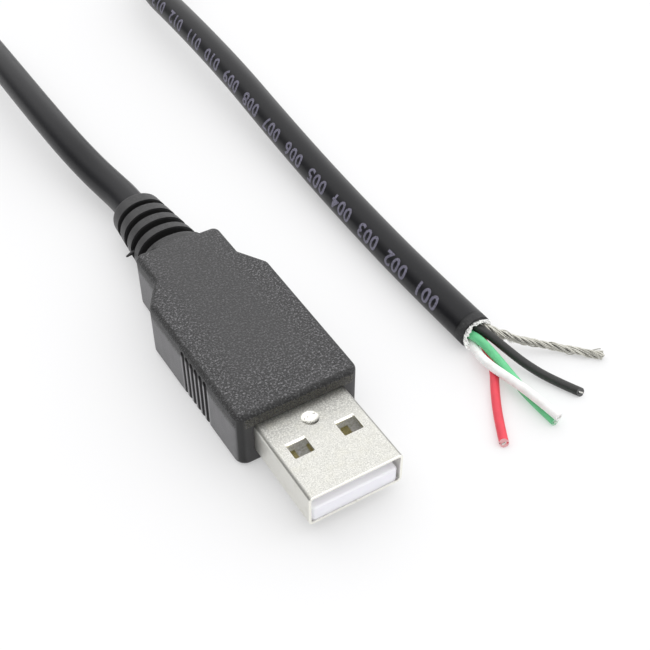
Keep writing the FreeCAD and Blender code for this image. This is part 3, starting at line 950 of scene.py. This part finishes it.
def wire_route(name):
    """A wire's route from deep in the bore to its end."""
    degrees, reach = LAY[name]
    angle = math.radians(degrees)
    dx, dz = reach * math.cos(angle), reach * math.sin(angle)
    return [at_cut(-dx, dz, -BORE_DEPTH), at_cut(-dx, dz, -0.4)] + [Vector(p) for p in FAN[name]]


class PIGTAIL_OT_stage(bpy.types.Operator):
    """Camera, pale floor and soft light"""

    bl_idname = "pigtail.stage"
    bl_label = "Stage"

    def camera(self, scene, s):
        data = bpy.data.cameras.new("camera")
        data.sensor_fit = "HORIZONTAL"
        data.sensor_width = 36.0
        data.lens = s.lens
        data.clip_start = 0.001
        data.clip_end = 20.0
        camera = bpy.data.objects.new("camera", data)
        scene.collection.objects.link(camera)
        camera.matrix_world = (
            Matrix.Translation((s.distance_x, s.distance_y, s.height))
            @ Matrix.Rotation(s.heading, 4, "Z")
            @ Matrix.Rotation(math.pi / 2 - s.elevation, 4, "X")
            @ Matrix.Rotation(s.roll, 4, "Z"))
        scene.camera = camera

    def sky(self, scene, s):
        """Soft light, brightest from high on one side."""
        scene.world = bpy.data.worlds.new("studio")
        f = Finish(scene.world)
        ray = f.node("ShaderNodeTexCoord").outputs["Generated"]
        towards = Vector((0.35, 0.25, 0.90)).normalized()
        dot = f.node("ShaderNodeVectorMath", {"operation": "DOT_PRODUCT"}, {0: ray, 1: towards})
        level = s.sky_dim + (s.sky_bright - s.sky_dim) * Value(f, dot.outputs["Value"]).ramp(0.12, 0.72)
        sky = f.node("ShaderNodeBackground", None, {"Color": WHITE, "Strength": level})
        f.node("ShaderNodeOutputWorld", None, {"Surface": sky.outputs[0]})

    def execute(self, context):
        s = context.scene.pigtail_stage
        self.camera(context.scene, s)
        deselect()
        bpy.ops.mesh.primitive_plane_add(size=6.0, location=(0.0, 0.0, -0.00002))
        floor = settle("floor")
        floor.data.materials.append(floor_finish(s.floor_colour, s.floor_glow))
        self.sky(context.scene, s)
        context.scene.view_settings.view_transform = "Standard"
        return {"FINISHED"}


class PIGTAIL_OT_cable(bpy.types.Operator):
    """The free cable with its open cut end"""

    bl_idname = "pigtail.cable"
    bl_label = "Cable"

    def execute(self, context):
        s = context.scene.pigtail_cable
        jacket = tube("jacket", CABLE_ROUTE, s.diameter / 2 / MM, sides=36, steps=14)
        end = cable_path()[-1]
        edit(jacket)
        pick("FACE", lambda f: f.normal.dot(OUT) > 0.99 and (middle(f) - end).length < 0.6)
        inset(0.12, 0.02)
        inset(s.wall / MM - 0.2)
        inset(0.08, -0.06)
        extrude(*OUT * -(s.strip_depth / MM))
        leave()
        rough = random.Random(4)
        for v in jacket.data.vertices:
            if (v.co / MM - end).dot(OUT) > -0.15:
                v.co += OUT * rough.uniform(-0.09, 0.09) * MM
        smooth(jacket, 40.0)
        finish_piece(jacket, jacket_finish(s.jacket_colour), "black_jacket", "cable_jacket")
        return {"FINISHED"}


class PIGTAIL_OT_length_marks(bpy.types.Operator):
    """Digits printed along the jacket"""

    bl_idname = "pigtail.length_marks"
    bl_label = "Length marks"

    def execute(self, context):
        s = context.scene.pigtail_cable
        deselect()
        bpy.ops.object.text_add()
        words = context.object
        words.data.body = s.print_text
        words.data.size = s.print_height / 0.7
        words.data.space_character = 1.12
        words.data.extrude = 0.01 * MM
        words.data.offset = 0.06 * MM
        words.data.resolution_u = 3
        bpy.ops.object.convert(target="MESH")
        marks = settle("length_marks")
        edit(marks)
        for i in range(1, 12):
            slice_all((0.0, s.print_height * i / 12, 0.0), (0.0, 1.0, 0.0))
        leave()
        radius = s.diameter / 2 / MM
        places = list(reversed(cable_path()))
        frames = carried_frames(places, 0.5)
        step = lengths_of(places)[-1] / (len(frames) - 1)
        start, middle_angle = 5.6, math.radians(64.0)
        for v in marks.data.vertices:
            x, y, z = v.co / MM
            place = (x + start) / step
            k = min(int(place), len(frames) - 2)
            point = frames[k][0].lerp(frames[k + 1][0], place - k)
            heading = frames[k][1].lerp(frames[k + 1][1], place - k).normalized()
            left = UP.cross(heading).normalized()
            angle = middle_angle + (y - s.print_height / MM / 2) / radius
            reach = radius + 0.006 + z
            v.co = (point + (left * math.sin(angle) + UP * math.cos(angle)) * reach) * MM
        outward(marks)
        finish_piece(marks, print_finish(s.print_colour), "black_jacket")
        return {"FINISHED"}


class PIGTAIL_OT_overmould(bpy.types.Operator):
    """The black moulding with grips and strain relief"""

    bl_idname = "pigtail.overmould"
    bl_label = "Overmould"

    def block_body(self, s):
        """Front block, flare and neck, with rounded corners and rims."""
        height = s.height / MM
        body = block("overmould", (-HALF_FACE, FACE_Y, 0.0), (HALF_FACE, SHOULDER_Y, height))
        edit(body)
        pick("FACE", lambda f: f.normal.y > 0.9)
        widen(HALF_SHOULDER / HALF_FACE, 1.0, 1.0, (0.0, SHOULDER_Y, height / 2))
        extrude(0.0, NECK_Y - SHOULDER_Y, 0.0)
        widen(HALF_NECK / HALF_SHOULDER, 1.0, 1.0, (0.0, NECK_Y, height / 2))
        extrude(0.0, BLOCK_Y - NECK_Y, 0.0)
        take_all()
        bpy.ops.mesh.dissolve_limited(angle_limit=0.001)
        turn = math.atan2(HALF_SHOULDER - HALF_NECK, NECK_Y - SHOULDER_Y)
        lean = math.atan2(HALF_SHOULDER - HALF_FACE, SHOULDER_Y - FACE_Y)
        square = math.pi / 2
        for y, radius, bend in ((FACE_Y, 1.4, square - lean), (SHOULDER_Y, 1.0, turn + lean),
                                (NECK_Y, 0.5, turn), (BLOCK_Y, 1.0, square)):
            pick("EDGE", lambda e: along(e, 2) and abs(middle(e).y - y) < 0.2 and abs(middle(e).x) > 5.0)
            bevel(radius * math.tan(bend / 2), 8)
        pick("FACE", lambda f: abs(f.normal.z) > 0.99)
        bpy.ops.mesh.region_to_loop()
        bevel(s.edge_round / MM, 7)
        leave()
        return body

    def relief(self):
        """A tapered oval sleeve that sets low towards its end, flat-topped where it leaves the block."""
        flat_until, square_until, waist = 0.17, 0.42, 2.1
        sleeve = barrel("relief", 1.0, (0.0, SLEEVE_Y, 0.0), (0.0, RELIEF_Y, 0.0), 96)
        edit(sleeve)
        pick("EDGE", lambda e: along(e, 1))
        bpy.ops.mesh.subdivide(number_cuts=27)
        leave()
        for v in sleeve.data.vertices:
            x, y, z = v.co / MM
            share, half_width, half_height, middle_z = relief_form(y)
            root = max(0.0, 1.0 - share / flat_until) ** 2
            if z > 0:
                power = 2.1 + 9.0 * root
            else:
                power = 2.0 + 1.9 * max(0.0, 1.0 - share / square_until) ** 2
            reach = (abs(x) ** power + abs(z) ** power) ** (-1.0 / power)
            half_width -= waist * root
            v.co = Vector((x * reach * half_width, y, z * reach * half_height + middle_z)) * MM
        edit(sleeve)
        pick("EDGE", lambda e: min(v.co.y for v in e.verts) / MM > RELIEF_Y - 0.1)
        bevel(0.5, 6)
        leave()
        return sleeve

    def nib(self):
        """A nib of flash at the parting line."""
        length, radius = 2.2, 0.42
        root = Vector((-3.2, BLOCK_Y + 5.87, 3.87))
        heading = Vector((-1.0, -0.35, 0.0)).normalized()
        tip = root + heading * length
        nib = barrel("nib", radius, root, tip, 20)
        edit(nib)
        pick("FACE", lambda f: f.normal.dot(heading) > 0.9)
        widen(0.3, 0.3, 0.3, tip)
        bevel(0.06, 3)
        leave()
        return nib

    def slot_floor(self, side):
        """What the slots from above (side 1) or below (side -1) leave standing."""
        inside, deep, sunk = 0.93, 4.37, 1.6
        core = barrel("slot_floor", 1.0, (0.0, SLEEVE_Y - 0.5, 0.0), (0.0, RELIEF_Y + 0.5, 0.0), 72)
        for v in core.data.vertices:
            x, y, z = v.co / MM
            share, half_width, half_height, middle_z = relief_form(y)
            v.co = Vector((x * inside * half_width, y, z * deep + middle_z - side * sunk)) * MM
        return core

    def slots(self, s):
        """Cutters for the slots, from above past the parting line and from below."""
        first, pitch = 2.25, 2.88
        half_first, narrower = 0.82, 0.08
        cutters = []
        for side in (1, -1):
            cuts = []
            for i in range(s.slot_count):
                setback = first + pitch * i
                half = half_first - narrower * i
                mid_z = AXIS_Z + (EXIT_Z - AXIS_Z) * setback / (RELIEF_Y - BLOCK_Y)
                low, high = (mid_z - 1.9, 9.0) if side > 0 else (-1.0, mid_z - 2.5)
                y = BLOCK_Y + setback
                cuts.append(block("slot", (-5.0, y - half, low), (5.0, y + half, high)))
            cutters.append(combine(join(cuts), self.slot_floor(side)))
        return cutters

    def grips(self, s):
        """Cutters for the upright grooves, each with a wider pocket at its top."""
        dome, hollow = (0.0, 0.0, 6.7), (0.0, 0.0, 7.0)
        groove = ball("groove", 0.41, dome, 24, 12)
        edit(groove)
        take_all()
        widen(1.2, 1.0, 1.0, dome)
        pick("VERT", lambda v: v.co.z / MM < 6.69)
        bpy.ops.transform.translate(value=(0.0, 0.0, -8.0 * MM))
        leave()
        pocket = ball("pocket", 0.46, hollow, 24, 12)
        edit(pocket)
        take_all()
        widen(1.5, 1.0, 1.35, hollow)
        leave()
        combine(groove, pocket, "UNION")
        middle_y, pitch = 10.65, 1.135
        cuts = []
        for i in range(s.grip_count):
            setback = middle_y + (i - (s.grip_count - 1) / 2) * pitch
            reach = HALF_FACE + (HALF_SHOULDER - HALF_FACE) * setback / (SHOULDER_Y - FACE_Y)
            cuts += [copy_of(groove, (side * reach, FACE_Y + setback, 0.0)) for side in (-1, 1)]
        discard(groove)
        return join(cuts)

    def hollow(self):
        """Cutters for the shell, the rear shield and the cable inside."""
        shell = shell_block("hollow", 0.04, FACE_Y - 1.0, shell_high[1])
        shield = shell_block("shield_hollow", 0.25, shell_high[1] - 2.7, 2.0)
        crimp = barrel("crimp_hollow", 2.72, (0.0, 1.5, AXIS_Z), (0.0, 6.2, AXIS_Z), 40)
        route = [(0.0, 1.0, AXIS_Z), (0.0, BLOCK_Y, AXIS_Z), (0.0, RELIEF_Y - 3.8, EXIT_Z),
                 (0.0, RELIEF_Y + 1.0, EXIT_Z)]
        return [rounded(shell, 1, 0.59, 5), shield, crimp, tube("cable_hollow", route, 2.36, 40, 10)]

    def execute(self, context):
        s = context.scene.pigtail_mould
        body = self.block_body(s)
        combine(body, self.relief(), "UNION")
        for cutter in self.slots(s):
            combine(body, cutter)
        combine(body, self.nib(), "UNION")
        combine(body, self.grips(s))
        for cutter in self.hollow():
            combine(body, cutter)
        even_shading(body, 32.0)
        finish_piece(body, moulding_finish(s.colour), "black_moulding", "overmould")
        return {"FINISHED"}


class PIGTAIL_OT_shell(bpy.types.Operator):
    """The folded metal shell with its windows, dimple and seam"""

    bl_idname = "pigtail.shell"
    bl_label = "Plug shell"

    def windows(self):
        """Cutters for the windows, above and below, and for the worn slopes behind the upper ones."""
        cuts = []
        half, corner = 1.25, 0.12
        inner = half - 0.13
        for x in (-WINDOW_X, WINDOW_X):
            window = block("window", (x - half, WINDOW_FRONT, 1.0), (x + half, WINDOW_BACK, 8.0))
            cuts.append(rounded(window, 2, corner, 3))
            slope = block("slope", (-inner, -1.0, 0.0), (inner, 1.0, 2.0))
            cuts.append(placed(slope, (x, WINDOW_BACK + 0.15, 6.33), math.radians(25.0), "X"))
        return cuts

    def seam(self):
        """Cutters along the dovetailed seam underneath."""
        tail, neck, head, half = 0.9, 0.55, 0.8, 0.04
        line = [(0.0, shell_low[1] - 1.0)]
        for setback in (3.6, 8.4):
            y = shell_low[1] + setback
            line += [(0.0, y - neck), (tail, y - head), (tail, y + head), (0.0, y + neck)]
        line.append((0.0, shell_high[1] + 1.0))
        cuts = []
        for (x0, y0), (x1, y1) in zip(line, line[1:]):
            run = math.hypot(x1 - x0, y1 - y0)
            cut = block("seam", (-half, -half, SHELL_BOTTOM - 0.5), (half, run + half, SHELL_BOTTOM + 0.5))
            cuts.append(placed(cut, (x0, y0, 0.0), math.atan2(x0 - x1, y1 - y0), "Z"))
        return cuts

    def press_dimple(self, shell, sheet):
        half, depth = 1.1, 0.26
        radius = (half ** 2 + depth ** 2) / (2 * depth)
        centre = (0.0, DIMPLE_Y, SHELL_TOP - depth + radius)
        bump = ball("bump", radius + sheet, centre, 96, 64)
        under = block("under", (-3.0, shell_low[1], 4.0), (3.0, shell_high[1], 6.25))
        combine(shell, combine(bump, under, "INTERSECT"), "UNION")
        combine(shell, ball("punch", radius, centre, 96, 64))

    def execute(self, context):
        s = context.scene.pigtail_shell
        shell = rounded(shell_block("shell", 0.0, shell_low[1], shell_high[1]), 1, s.bend / MM, 8)
        edit(shell)
        pick("FACE", lambda f: abs(f.normal.y) > 0.9)
        bpy.ops.mesh.delete(type="FACE")
        leave()
        apply_modifier(shell, "SOLIDIFY", thickness=s.sheet, offset=-1.0, use_even_offset=True, use_rim=True)
        for cut in self.windows() + self.seam():
            combine(shell, cut)
        self.press_dimple(shell, s.sheet / MM)
        apply_modifier(shell, "BEVEL", width=0.04 * MM, segments=2, limit_method="ANGLE",
                       angle_limit=math.radians(50.0), use_clamp_overlap=True)
        even_shading(shell, 40.0)
        finish_piece(shell, nickel_finish(s.nickel_colour), "nickel_plate", "plug_shell")
        return {"FINISHED"}


class PIGTAIL_OT_carrier(bpy.types.Operator):
    """The white contact carrier and its contacts"""

    bl_idname = "pigtail.carrier"
    bl_label = "Contact carrier"

    def execute(self, context):
        s = context.scene.pigtail_shell
        front, bottom, root = carrier_low[1] - 0.2, SHELL_BOTTOM + 0.3, FACE_Y - 3.7
        tongue_half, body_half, groove_half = 5.55, 5.67, 0.52
        tongue = block("carrier", (-tongue_half, front, bottom), (tongue_half, root, TONGUE_TOP))
        edit(tongue)
        pick("EDGE", lambda e: along(e, 2) and middle(e).y < front + 0.1)
        bevel(0.5, 5)
        pick("FACE", lambda f: f.normal.z > 0.9)
        bpy.ops.mesh.region_to_loop()
        bevel(0.28, 4)
        leave()
        low, high = (-body_half, root - 0.2, bottom), (body_half, carrier_high[1], SHELL_TOP - 0.33)
        combine(tongue, rounded(block("carrier_body", low, high), 1, 0.45, 2), "UNION")
        for x, setback in ((3.5, 1.9), (1.0, 2.9), (-1.0, 2.9), (-3.5, 1.9)):
            low = (x - groove_half, shell_low[1] + setback, TONGUE_TOP - 0.22)
            combine(tongue, block("groove", low, (x + groove_half, root, TONGUE_TOP + 0.45)))
        even_shading(tongue, 32.0)
        finish_piece(tongue, carrier_finish(s.carrier_colour), "white_plastic", "contact_carrier")
        gold = gold_finish(s.gold_colour)
        for name in ("contact_vbus", "contact_data_minus", "contact_data_plus", "contact_ground"):
            dress(name, gold)
        return {"FINISHED"}


class PIGTAIL_OT_wires(bpy.types.Operator):
    """The four insulated wires and their stranded cores"""

    bl_idname = "pigtail.wires"
    bl_label = "Wires"

    def insulation(self, s, name, route, heading, lean):
        """A wire's sleeve, its end cut at a slant and open for the core."""
        radius, core = s.diameter / 2 / MM, s.core_diameter / 2 / MM
        end = route[-1]
        piece = tube(name + "_wire", route, radius, sides=24)
        edit(piece)
        pick("FACE", lambda f: f.normal.dot(heading) > 0.98 and (middle(f) - end).length < 0.2)
        inset(radius - core - 0.06)
        inset(0.03, -0.03)
        extrude(*heading * -0.8)
        leave()
        rough = random.Random(len(name))
        for v in piece.data.vertices:
            place = v.co / MM - end
            if place.dot(heading) > -0.05 and place.length < 1.0:
                v.co += heading * rough.uniform(-0.04, 0.03) * MM
        slant(piece, end, heading, lean)
        cut = piece.data.attributes.new("cut", "FLOAT", "FACE")
        for face, item in zip(piece.data.polygons, cut.data):
            near = (face.center / MM - end).length < 0.7
            item.value = 1.0 if near and face.normal.dot((heading + lean).normalized()) > 0.8 else 0.0
        smooth(piece, 40.0)
        pvc = insulation_finish(name + "_pvc", getattr(s, name))
        finish_piece(piece, pvc, name + "_pvc", name + "_insulation")

    def core(self, s, name, route, heading, lean, metal):
        """Six strands round a middle one."""
        places = path_of(route)
        places.append(route[-1] + heading * 0.1)
        radius = s.core_diameter / 2 / MM / 3
        bundle = join([
            twisted("core", places, radius, radius * 2, count=6, lay=9.0, step=0.5, sides=8),
            strand_along("core", places, radius, 8)])
        rename(bundle, name + "_strands")
        slant(bundle, route[-1], heading, lean)
        smooth(bundle, 50.0)
        finish_piece(bundle, metal, "tinned_copper", name + "_core")

    def execute(self, context):
        s = context.scene.pigtail_wires
        tinned = metal_finish("tinned_copper", (0.80, 0.79, 0.75), 0.22, 0.05, 0.004)
        for name in WIRES:
            route = wire_route(name)
            heading = (route[-1] - route[-2]).normalized()
            lean = (LEAN - heading * LEAN.dot(heading)).normalized() * SLANT[name]
            self.insulation(s, name, route, heading, lean)
            self.core(s, name, route, heading, lean, tinned)
        return {"FINISHED"}


class PIGTAIL_OT_drain(bpy.types.Operator):
    """The bare twisted drain wire"""

    bl_idname = "pigtail.drain"
    bl_label = "Drain wire"

    def execute(self, context):
        s = context.scene.pigtail_wires
        places = path_of(wire_route("drain"), 16)
        radius = 0.145
        reach = s.drain_diameter / 2 / MM - radius
        outer = twisted("drain", places, radius, reach, count=7, lay=6.4, step=0.16, sides=10,
                        wander=0.2, loose=(1.6, 0.6))
        inner = strand_along("drain", places, reach * 0.62, 8)
        stray = twisted("drain", places, 0.075, reach + 0.11, count=3, lay=9.5, step=0.25, sides=6,
                        wander=0.42, loose=(2.4, 0.8))
        drain = rename(join([outer, inner, stray]), "drain_strands")
        lay_on_floor(drain)
        mark_depth(drain, places, reach, radius)
        smooth(drain, 50.0)
        tin = metal_finish("drain_tin", (0.54, 0.53, 0.475), 0.24, 0.09, crevice_shade=0.65, glints=0.12)
        finish_piece(drain, tin, "tinned_copper", "drain_wire")
        return {"FINISHED"}


class PIGTAIL_OT_braid(bpy.types.Operator):
    """The frayed braid and the foil in the jacket's mouth"""

    bl_idname = "pigtail.braid"
    bl_label = "Braid and foil"

    def sleeve(self, name, inner, outer, proud, wall, seed):
        """A crumpled sleeve in the bore, turned out over the jacket's wall at its front."""
        piece = barrel(name, inner, at_cut(0.0, 0.0, -BORE_DEPTH), at_cut(0.0, 0.0, proud), 110)
        edit(piece)
        pick("FACE", lambda f: abs(f.normal.dot(OUT)) > 0.9)
        bpy.ops.mesh.delete(type="FACE")
        rings, spacing, behind = 10, 0.07, 0.18
        for i in range(rings):
            slice_all(at_cut(0.0, 0.0, proud - spacing * (i + 1)) * MM, OUT)
        leave()
        ragged = random.Random(seed)
        waves = [(k, ragged.uniform(0.0, 6.28), ragged.uniform(0.4, 1.0)) for k in (5, 8, 13, 21, 34)]
        for v in piece.data.vertices:
            place = v.co / MM - CUT
            forward = place.dot(OUT)
            turned = max(0.0, min(1.0, (forward + behind) / (proud + behind)))
            angle = math.atan2(place.dot(UP), place.dot(ACROSS))
            fold = sum(h * math.sin(k * angle + p) for k, p, h in waves)
            crease = sum(h * math.sin(k * angle - 2 * p) for k, p, h in waves)
            reach = inner + (outer - inner) * turned ** 1.3 + turned * 0.04 * fold
            forward += turned * 0.07 * crease + turned * ragged.uniform(-0.03, 0.03)
            forward += turned * 0.32 * max(0.0, math.cos(angle + 0.45)) ** 2 * (1.0 + 0.3 * crease)
            v.co = at_cut(reach * math.cos(angle), reach * math.sin(angle), forward) * MM
        apply_modifier(piece, "SOLIDIFY", thickness=wall * MM, offset=-1.0)
        smooth(piece, 30.0)
        return piece

    def hairs(self, count):
        """Loose hairs of the braid that stand out of the mouth."""
        rough = random.Random(21)
        hairs = []
        for i in range(count):
            angle = 2 * math.pi * i / count + rough.uniform(-0.04, 0.04)
            turn = rough.choice((-1, 1)) * rough.uniform(0.1, 0.7)
            reach = rough.uniform(0.25, 0.62)
            flare = rough.uniform(0.05, 0.58)
            line = []
            for k in range(7):
                t = k / 6
                r = 1.68 + flare * t ** 1.5
                a = angle + turn * t * 0.5
                line.append(at_cut(r * math.cos(a), r * math.sin(a), -0.5 + (0.5 + reach) * t))
            hairs.append(strand_along("hair", line, 0.042, 6))
        return hairs

    def film(self):
        """A torn ribbon of the wrap beside the drain wire."""
        start, end, half, step = 0.6, 4.6, 0.28, 0.1
        ribbon = block("film", (start, -half, -0.012), (end, half, 0.012))
        edit(ribbon)
        for i in range(1, 24):
            slice_all(((start + i / 6) * MM, 0.0, 0.0), (1.0, 0.0, 0.0))
        leave()
        frames = carried_frames(path_of(wire_route("drain")), step)
        torn = random.Random(3)
        for v in ribbon.data.vertices:
            x, y, z = v.co / MM
            point, heading, side, over = frames[int((BORE_DEPTH + x) / step)]
            across = UP.cross(heading).normalized()
            narrow = 1.0 - 0.5 * max(0.0, (x - 3.0) / 1.6) + torn.uniform(-0.15, 0.15)
            lift = z + 0.14 * math.sin(4.2 * x + 1.5 * y) + 0.3 * y * math.sin(1.9 * x)
            v.co = (point - across * (0.55 + y * narrow) + UP * (lift - 0.22)) * MM
        return ribbon

    def execute(self, context):
        sleeve = self.sleeve("braid", inner=1.64, outer=2.26, proud=0.44, wall=0.06, seed=9)
        braid = rename(join([sleeve] + self.hairs(110)), "braid")
        lay_on_floor(braid)
        tin = metal_finish("tinned_braid", (0.95, 0.95, 0.93), 0.16, 0.08, 0.006, metallic=0.5, glints=0.45)
        finish_piece(braid, tin, "tinned_braid", "braid_shield")
        sleeve = self.sleeve("foil", inner=1.58, outer=1.84, proud=0.5, wall=0.03, seed=5)
        foil = rename(join([sleeve, self.film()]), "foil")
        lay_on_floor(foil)
        silver = metal_finish("foil", (0.95, 0.95, 0.95), 0.2, 0.2, 0.02, metallic=0.5, glints=0.3)
        finish_piece(foil, silver, "foil", "foil_wrap")
        return {"FINISHED"}


class PIGTAIL_OT_inner_parts(bpy.types.Operator):
    """Finishes for the parts inside the plug"""

    bl_idname = "pigtail.inner_parts"
    bl_label = "Inner parts"

    def execute(self, context):
        steel = metal_finish("shield_steel", (0.62, 0.61, 0.59), 0.32, 0.15)
        dress("rear_shield_upper", steel)
        dress("rear_shield_lower", steel)
        dress("folded_braid", metal_finish("folded_braid", (0.72, 0.71, 0.68), 0.3, 0.12, 0.02))
        dress("solder_joints", metal_finish("solder", (0.70, 0.70, 0.71), 0.24, 0.4, 0.01))
        dress("drain_wire_in_plug", metal_finish("drain_in_plug", (0.66, 0.65, 0.61), 0.3, 0.08))
        dress("inner_mould", plastic_finish("clear_moulding", (0.66, 0.65, 0.60), 0.3))
        jacket_colour = context.scene.pigtail_cable.jacket_colour
        dress("cable_in_plug", plastic_finish("held_jacket", jacket_colour, 0.4))
        for name in WIRES:
            base = getattr(context.scene.pigtail_wires, name)
            dress(name + "_wire_in_plug", insulation_finish(name + "_in_plug", base))
        return {"FINISHED"}


class PIGTAIL_OT_declare(bpy.types.Operator):
    """Works out the cable's length and which pieces lie on it, and does nothing more with them"""

    bl_idname = "pigtail.declare"
    bl_label = "Declare cord"

    def execute(self, context):
        path = [p * MM for p in cable_path()]
        length = lengths_of(path)[-1]
        on_it = ["length_marks", "braid", "foil", "drain_strands"]
        on_it += [name + end for name in WIRES for end in ("_wire", "_strands")]
        return {"FINISHED"}


class PIGTAIL_PT_panel(bpy.types.Panel):
    """Lists the pieces"""

    bl_idname = "PIGTAIL_PT_panel"
    bl_label = "USB pigtail cable"
    bl_space_type = "VIEW_3D"
    bl_region_type = "UI"
    bl_category = "Cable"

    def draw(self, context):
        for operator in OPERATORS:
            self.layout.operator(operator.bl_idname)


SETTINGS = {
    "pigtail_stage": StageSettings,
    "pigtail_cable": CableSettings,
    "pigtail_mould": MouldSettings,
    "pigtail_shell": ShellSettings,
    "pigtail_wires": WireSettings,
}
OPERATORS = (
    PIGTAIL_OT_stage,
    PIGTAIL_OT_cable,
    PIGTAIL_OT_length_marks,
    PIGTAIL_OT_overmould,
    PIGTAIL_OT_shell,
    PIGTAIL_OT_carrier,
    PIGTAIL_OT_wires,
    PIGTAIL_OT_drain,
    PIGTAIL_OT_braid,
    PIGTAIL_OT_inner_parts,
    PIGTAIL_OT_declare,
)


def register():
    for name, settings in SETTINGS.items():
        bpy.utils.register_class(settings)
        setattr(bpy.types.Scene, name, PointerProperty(type=settings))
    for item in OPERATORS + (PIGTAIL_PT_panel,):
        bpy.utils.register_class(item)


def unregister():
    for item in reversed(OPERATORS + (PIGTAIL_PT_panel,)):
        bpy.utils.unregister_class(item)
    for name, settings in SETTINGS.items():
        delattr(bpy.types.Scene, name)
        bpy.utils.unregister_class(settings)


def main():
    register()
    bpy.ops.pigtail.stage()
    bpy.ops.pigtail.cable()
    bpy.ops.pigtail.length_marks()
    bpy.ops.pigtail.overmould()
    bpy.ops.pigtail.shell()
    bpy.ops.pigtail.carrier()
    bpy.ops.pigtail.wires()
    bpy.ops.pigtail.drain()
    bpy.ops.pigtail.braid()
    bpy.ops.pigtail.inner_parts()
    bpy.ops.pigtail.declare()


if __name__ == "__main__":
    main()
